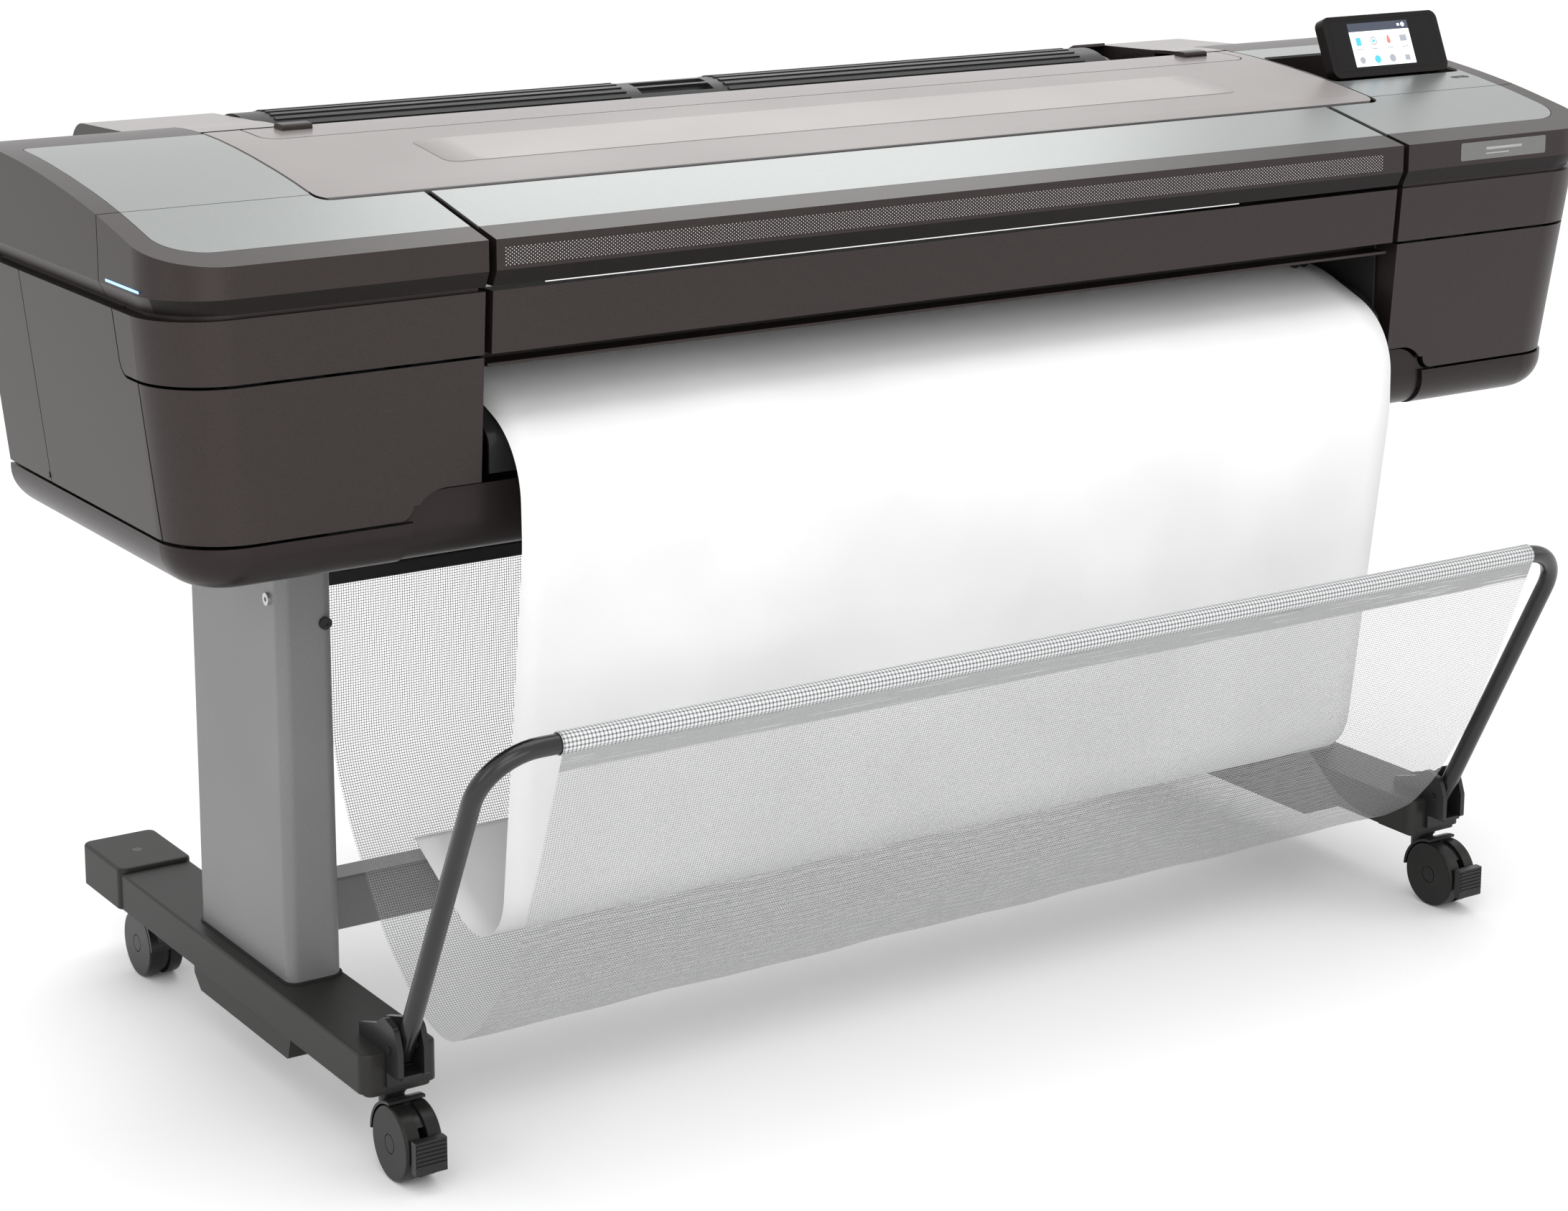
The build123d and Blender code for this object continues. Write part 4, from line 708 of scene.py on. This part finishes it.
BODY_SIDE_X = 901.5                  # the widest part, at the top
SIDE_LEAN = 0.114                    # how far the side panel leans in for each millimetre down
LEAN_TOP_Z = 861.5                   # where it starts to lean
LIGHT_OUTLINE, LIGHT_PROUD = (-133, 884.9, -55, 887.4), 0.35
TRIM_OUTLINE, TRIM_Y, TRIM_PROUD = (-510, 864.9, 352, 865.9), 8.2, 0.7
SCREW_Y, SCREW_Z, SCREW_R, SCREW_PROUD = 361, 652, 3.2, 0.9


def side_light():
    """Blue light strip on the left lid's side."""
    MATERIALS["blue"] = glowing("side_light_blue", (0.25, 0.48, 1.0), 1.2)
    outline = round_rect(*LIGHT_OUTLINE, 1.0)
    strip = plate("side_light", outline, at(-BODY_SIDE_X, 0, 0), -Y, Z, LIGHT_PROUD)
    piece("side_light", strip, "blue", "ink_lid_left")


def slot_trim():
    """Bright edge along the foot of the front cover."""
    strip = plate("slot_trim", round_rect(*TRIM_OUTLINE, 0.4), at(0, TRIM_Y, 0), X, Z, TRIM_PROUD)
    piece("slot_trim", strip, "bright", "trimmer_cover")


def side_screws():
    """Small dark screws low on the left and right sides."""
    side_x = BODY_SIDE_X - SIDE_LEAN * (LEAN_TOP_Z - SCREW_Z)
    for side, sign in (("left", -1), ("right", 1)):
        outline = disc(SCREW_Y * sign, SCREW_Z, SCREW_R)
        head = plate("side_screw", outline, at(sign * side_x, 0, 0), Y * sign, Z, SCREW_PROUD)
        piece(f"side_screw_{side}", head, "black", "printer")


COLUMN_X, COLUMN_HALF_W = 675.5, 30.0
COLUMN_Y, COLUMN_CORNER = (206.5, 430.5), 12
# height of the dark ring that paints the shadowed gap round each column's foot
SHADE_RING_Z = (127.6, 129.4)


def column_ring(x, x_gap, y_gap, radius):
    """Outline round the column at x, clear of it by the two gaps."""
    half = COLUMN_HALF_W + x_gap
    return round_rect(x - half, COLUMN_Y[0] - y_gap, x + half, COLUMN_Y[1] + y_gap, radius)


def column_base_shade_rings():
    """Dark ring round the bottom of each column, a painted shadow for the shaded gap where the column enters
    the foot.
    """
    for side, x in (("left", -COLUMN_X), ("right", COLUMN_X)):
        inner = column_ring(x, 0.2, 0.2, COLUMN_CORNER)
        outer = column_ring(x, 2.6, 2.8, COLUMN_CORNER + 2)
        count = len(inner)
        verts = [at(u, v, z) for z in SHADE_RING_Z for ring in (inner, outer) for u, v in ring]
        faces = []
        for k in range(count):
            n = (k + 1) % count
            # low and high ring, then inner and outer wall
            for one, two in ((0, count), (2 * count, 3 * count), (0, 2 * count), (count, 3 * count)):
                faces.append((one + k, one + n, two + n, two + k))
        mesh = mesh_from("column_base_shade_ring", verts, faces)
        piece(f"column_base_shade_ring_{side}", mesh, "rubber", "printer")


# ---------------------------------------------------------------- touch panel
SCREEN_LEAN = 23.5                   # degrees back from upright
PAGE_X, PAGE_Y = (-54.0, 42.0), (-27.0, 27.0)
HEADER_HIGH = 10.5
ICON_STEP, TOP_ROW, LOW_ROW, LABEL_Y = 24, 4.0, -19.0, (-6.2, -5.0)
PAGE_LIFT, RING_LIFT, MIDDLE_LIFT, ICON_LIFT = 0.02, 0.06, 0.07, 0.08


def screen_axes():
    """Middle of the screen's front face, its up direction and its outward normal."""
    lean = math.radians(SCREEN_LEAN)
    up = Vector((0, math.sin(lean), math.cos(lean)))
    out = Vector((0, -math.cos(lean), math.sin(lean)))
    centre = (SCREEN_LOW + SCREEN_HIGH) / 2
    reach = max((v.co - centre).dot(out) for v in NODES["touch_screen"].data.vertices)
    return centre + out * reach, up, out


def drop_outline(u, v, steps=24):
    """Outline of a drop with its tip up."""
    angles = [2 * math.pi * k / steps for k in range(steps)]
    wide = [4 * math.sin(a) * (0.35 + 0.65 * math.sin(a / 2) ** 2) for a in angles]
    return [(u + w, v + 5.6 * math.cos(a)) for w, a in zip(wide, angles)]


def touch_display():
    """Lit screen with a header and plain symbols."""
    centre, up, out = screen_axes()
    MATERIALS["ui_white"] = glowing("display_white", (0.80, 0.82, 0.84), 0.55)
    MATERIALS["ui_dark"] = glowing("display_header", (0.03, 0.04, 0.07), 0.2)
    MATERIALS["ui_blue"] = glowing("display_blue", (0.05, 0.42, 0.80), 0.5)
    MATERIALS["ui_grey"] = glowing("display_grey", (0.30, 0.32, 0.36), 0.35)
    MATERIALS["ui_red"] = glowing("display_red", (0.75, 0.16, 0.12), 0.45)
    (left, right), (low, high) = PAGE_X, PAGE_Y
    header_low = high - HEADER_HIGH

    def layer(name, look, outlines, height):
        base = centre + out * (height * MM)
        made = [plate(name, outline, base, X, up, 0.05) for outline in outlines]
        piece(name, joined(name, made), look, "control_panel")

    def block(u, v, half, down, up_by, radius):
        """Outline of a symbol round (u, v)."""
        return round_rect(u - half, v - down, u + half, v + up_by, radius)

    layer("display_page", "ui_white", [round_rect(left, low, right, header_low, 0.5)], PAGE_LIFT)
    layer("display_header", "ui_dark", [round_rect(left, header_low, right, high, 0.5)], PAGE_LIFT)
    one, two, three, four = (left + ICON_STEP * (i + 0.5) for i in range(4))
    layer("display_icons_blue", "ui_blue", [
        block(one, TOP_ROW, 4, 5, 5, 1), disc(two, LOW_ROW, 5), disc(two, TOP_ROW, 2.2),
    ], ICON_LIFT)
    labels = [round_rect(u - 5, LABEL_Y[0], u + 5, LABEL_Y[1], 0.4) for u in (one, two, three, four)]
    layer("display_icons_grey", "ui_grey", [
        block(four, TOP_ROW, 5.5, 3, 5, 1), block(four, LOW_ROW, 4, 4, 3, 0.6),
        disc(one, LOW_ROW, 4.4), disc(three, LOW_ROW, 5.0), *labels,
    ], ICON_LIFT)
    layer("display_icons_red", "ui_red", [drop_outline(three, TOP_ROW + 1)], ICON_LIFT)
    layer("display_ring", "ui_grey", [disc(two, TOP_ROW, 5.4)], RING_LIFT)
    middle_y = high - 5.2
    spots = [disc(right - 8, middle_y, 2.8), round_rect(right - 17, high - 6.6, right - 13, high - 3.6, 0.5)]
    layer("display_spots", "ui_white", spots, ICON_LIFT)
    layer("display_ring_middle", "ui_white", [disc(two, TOP_ROW, 3.8)], MIDDLE_LIFT)


SYMBOL_START, SYMBOL_SWEEP = 125, 290    # degrees
SYMBOL_R = (1.6, 2.1)
SYMBOL_LIFT, SYMBOL_THICK = 0.00008, 0.0001


def button_symbol():
    """Broken ring on the power button."""
    MATERIALS["symbol"] = moulded("symbol_print", (0.62, 0.62, 0.62), 0.4, 900.0, 1.05)
    low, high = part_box("power_button")
    centre = Vector(((low.x + high.x) / 2, (low.y + high.y) / 2, high.z))
    steps = 20
    verts, faces = [], []
    for k in range(steps + 1):
        a = math.radians(SYMBOL_START + SYMBOL_SWEEP * k / steps)
        for radius in SYMBOL_R:
            across, along = radius * MM * math.cos(a), radius * MM * math.sin(a)
            verts.append(centre + Vector((across, along, SYMBOL_LIFT)))
    for k in range(steps):
        faces.append((2 * k, 2 * k + 1, 2 * k + 3, 2 * k + 2))
    mesh = mesh_from("power_symbol", verts, faces)
    obj = piece("power_symbol", mesh, "symbol", "power_button")
    thicken(obj, "symbol_thickness", SYMBOL_THICK)


# ---------------------------------------------------------------- stage
def area_light(name, place, target, size, power, size_y=None):
    """A soft rectangular lamp that faces a target. Metres and watts."""
    data = bpy.data.lights.new(name, "AREA")
    data.shape = "RECTANGLE"
    data.size = size
    data.size_y = size_y or size
    data.energy = power
    lamp = bpy.data.objects.new(name, data)
    bpy.context.scene.collection.objects.link(lamp)
    lamp.location = place
    lamp.rotation_mode = "QUATERNION"
    lamp.rotation_quaternion = (Vector(target) - Vector(place)).to_track_quat("-Z", "Y")


FLOOR_HALF = 40.0
FLOOR_TONE, WORLD_STRENGTH = 0.93, 1.08
LIGHTS = (                           # name, place, target, size, power and the second size if it differs
    ("key_left", (-3.0, -3.6, 3.8), (0, 0, 0.5), 2.6, 40),
    ("top_soft", (0.2, 0.2, 4.4), (0, 0, 0.5), 3.8, 60),
    ("fill_right", (4.2, -2.4, 2.2), (0, 0, 0.6), 2.4, 12),
    ("side_left", (-3.6, -0.9, 1.5), (-0.9, -0.2, 0.8), 1.0, 8, 1.7),
    ("front_low", (-1.6, -4.4, 1.1), (0, -0.2, 0.6), 3.2, 30, 1.6),
    ("rear_right", (2.1, 2.87, 3.06), (0, -0.2, 0.93), 1.8, 10, 0.7),
)


def stage():
    """Pale floor, even white surroundings and soft lamps."""
    made, tree, shader = new_material("floor_pale", (FLOOR_TONE,) * 3, 0.8)
    tree.links.new(spread(tree, noise(tree, 3.0), 0.7, 0.8), shader.inputs["Roughness"])
    half = FLOOR_HALF
    mesh = bpy.data.meshes.new("floor")
    floor_corners = [(-half, -half, 0), (half, -half, 0), (half, half, 0), (-half, half, 0)]
    mesh.from_pydata(floor_corners, [], [(0, 1, 2, 3)])
    mesh.materials.append(made)
    floor = bpy.data.objects.new("floor", mesh)
    bpy.context.scene.collection.objects.link(floor)
    world = bpy.data.worlds.new("studio")
    world.use_nodes = True
    background = world.node_tree.nodes["Background"]
    background.inputs["Color"].default_value = (1.0, 1.0, 1.0, 1)
    background.inputs["Strength"].default_value = WORLD_STRENGTH
    bpy.context.scene.world = world
    for row in LIGHTS:
        area_light(*row)


# ---------------------------------------------------------------- camera
CAMERA_PLACE = at(-2063.9, -2784.0, 1452.8)
CAMERA_YAW, CAMERA_PITCH, CAMERA_ROLL = 33.18, 11.95, 0.09
CAMERA_LENS, CAMERA_SENSOR, CAMERA_SHIFT = 78.18, 36.0, -0.1495


def camera():
    """The photograph's angle, with a small shift."""
    yaw, pitch, roll = (math.radians(a) for a in (CAMERA_YAW, CAMERA_PITCH, CAMERA_ROLL))
    ahead = Vector((math.sin(yaw) * math.cos(pitch), math.cos(yaw) * math.cos(pitch), -math.sin(pitch)))
    level = Vector((math.cos(yaw), -math.sin(yaw), 0))
    upright = level.cross(ahead)
    right = level * math.cos(roll) + upright * math.sin(roll)
    up = upright * math.cos(roll) - level * math.sin(roll)
    turn = Matrix((right, up, -ahead)).transposed()
    data = bpy.data.cameras.new("photo_camera")
    data.sensor_width = CAMERA_SENSOR
    data.lens = CAMERA_LENS
    data.shift_y = CAMERA_SHIFT
    data.clip_start = 0.05
    data.clip_end = 200
    cam = bpy.data.objects.new("photo_camera", data)
    bpy.context.scene.collection.objects.link(cam)
    cam.matrix_world = Matrix.Translation(CAMERA_PLACE) @ turn.to_4x4()
    bpy.context.scene.camera = cam


# The default transform would turn the white paper and floor grey.
bpy.context.scene.view_settings.view_transform = "Standard"
camera()
stage()
basket_cloth()
basket_sleeve()
paper()
window_field()
perforations()
nameplate()
side_light()
slot_trim()
side_screws()
column_base_shade_rings()
touch_display()
button_symbol()
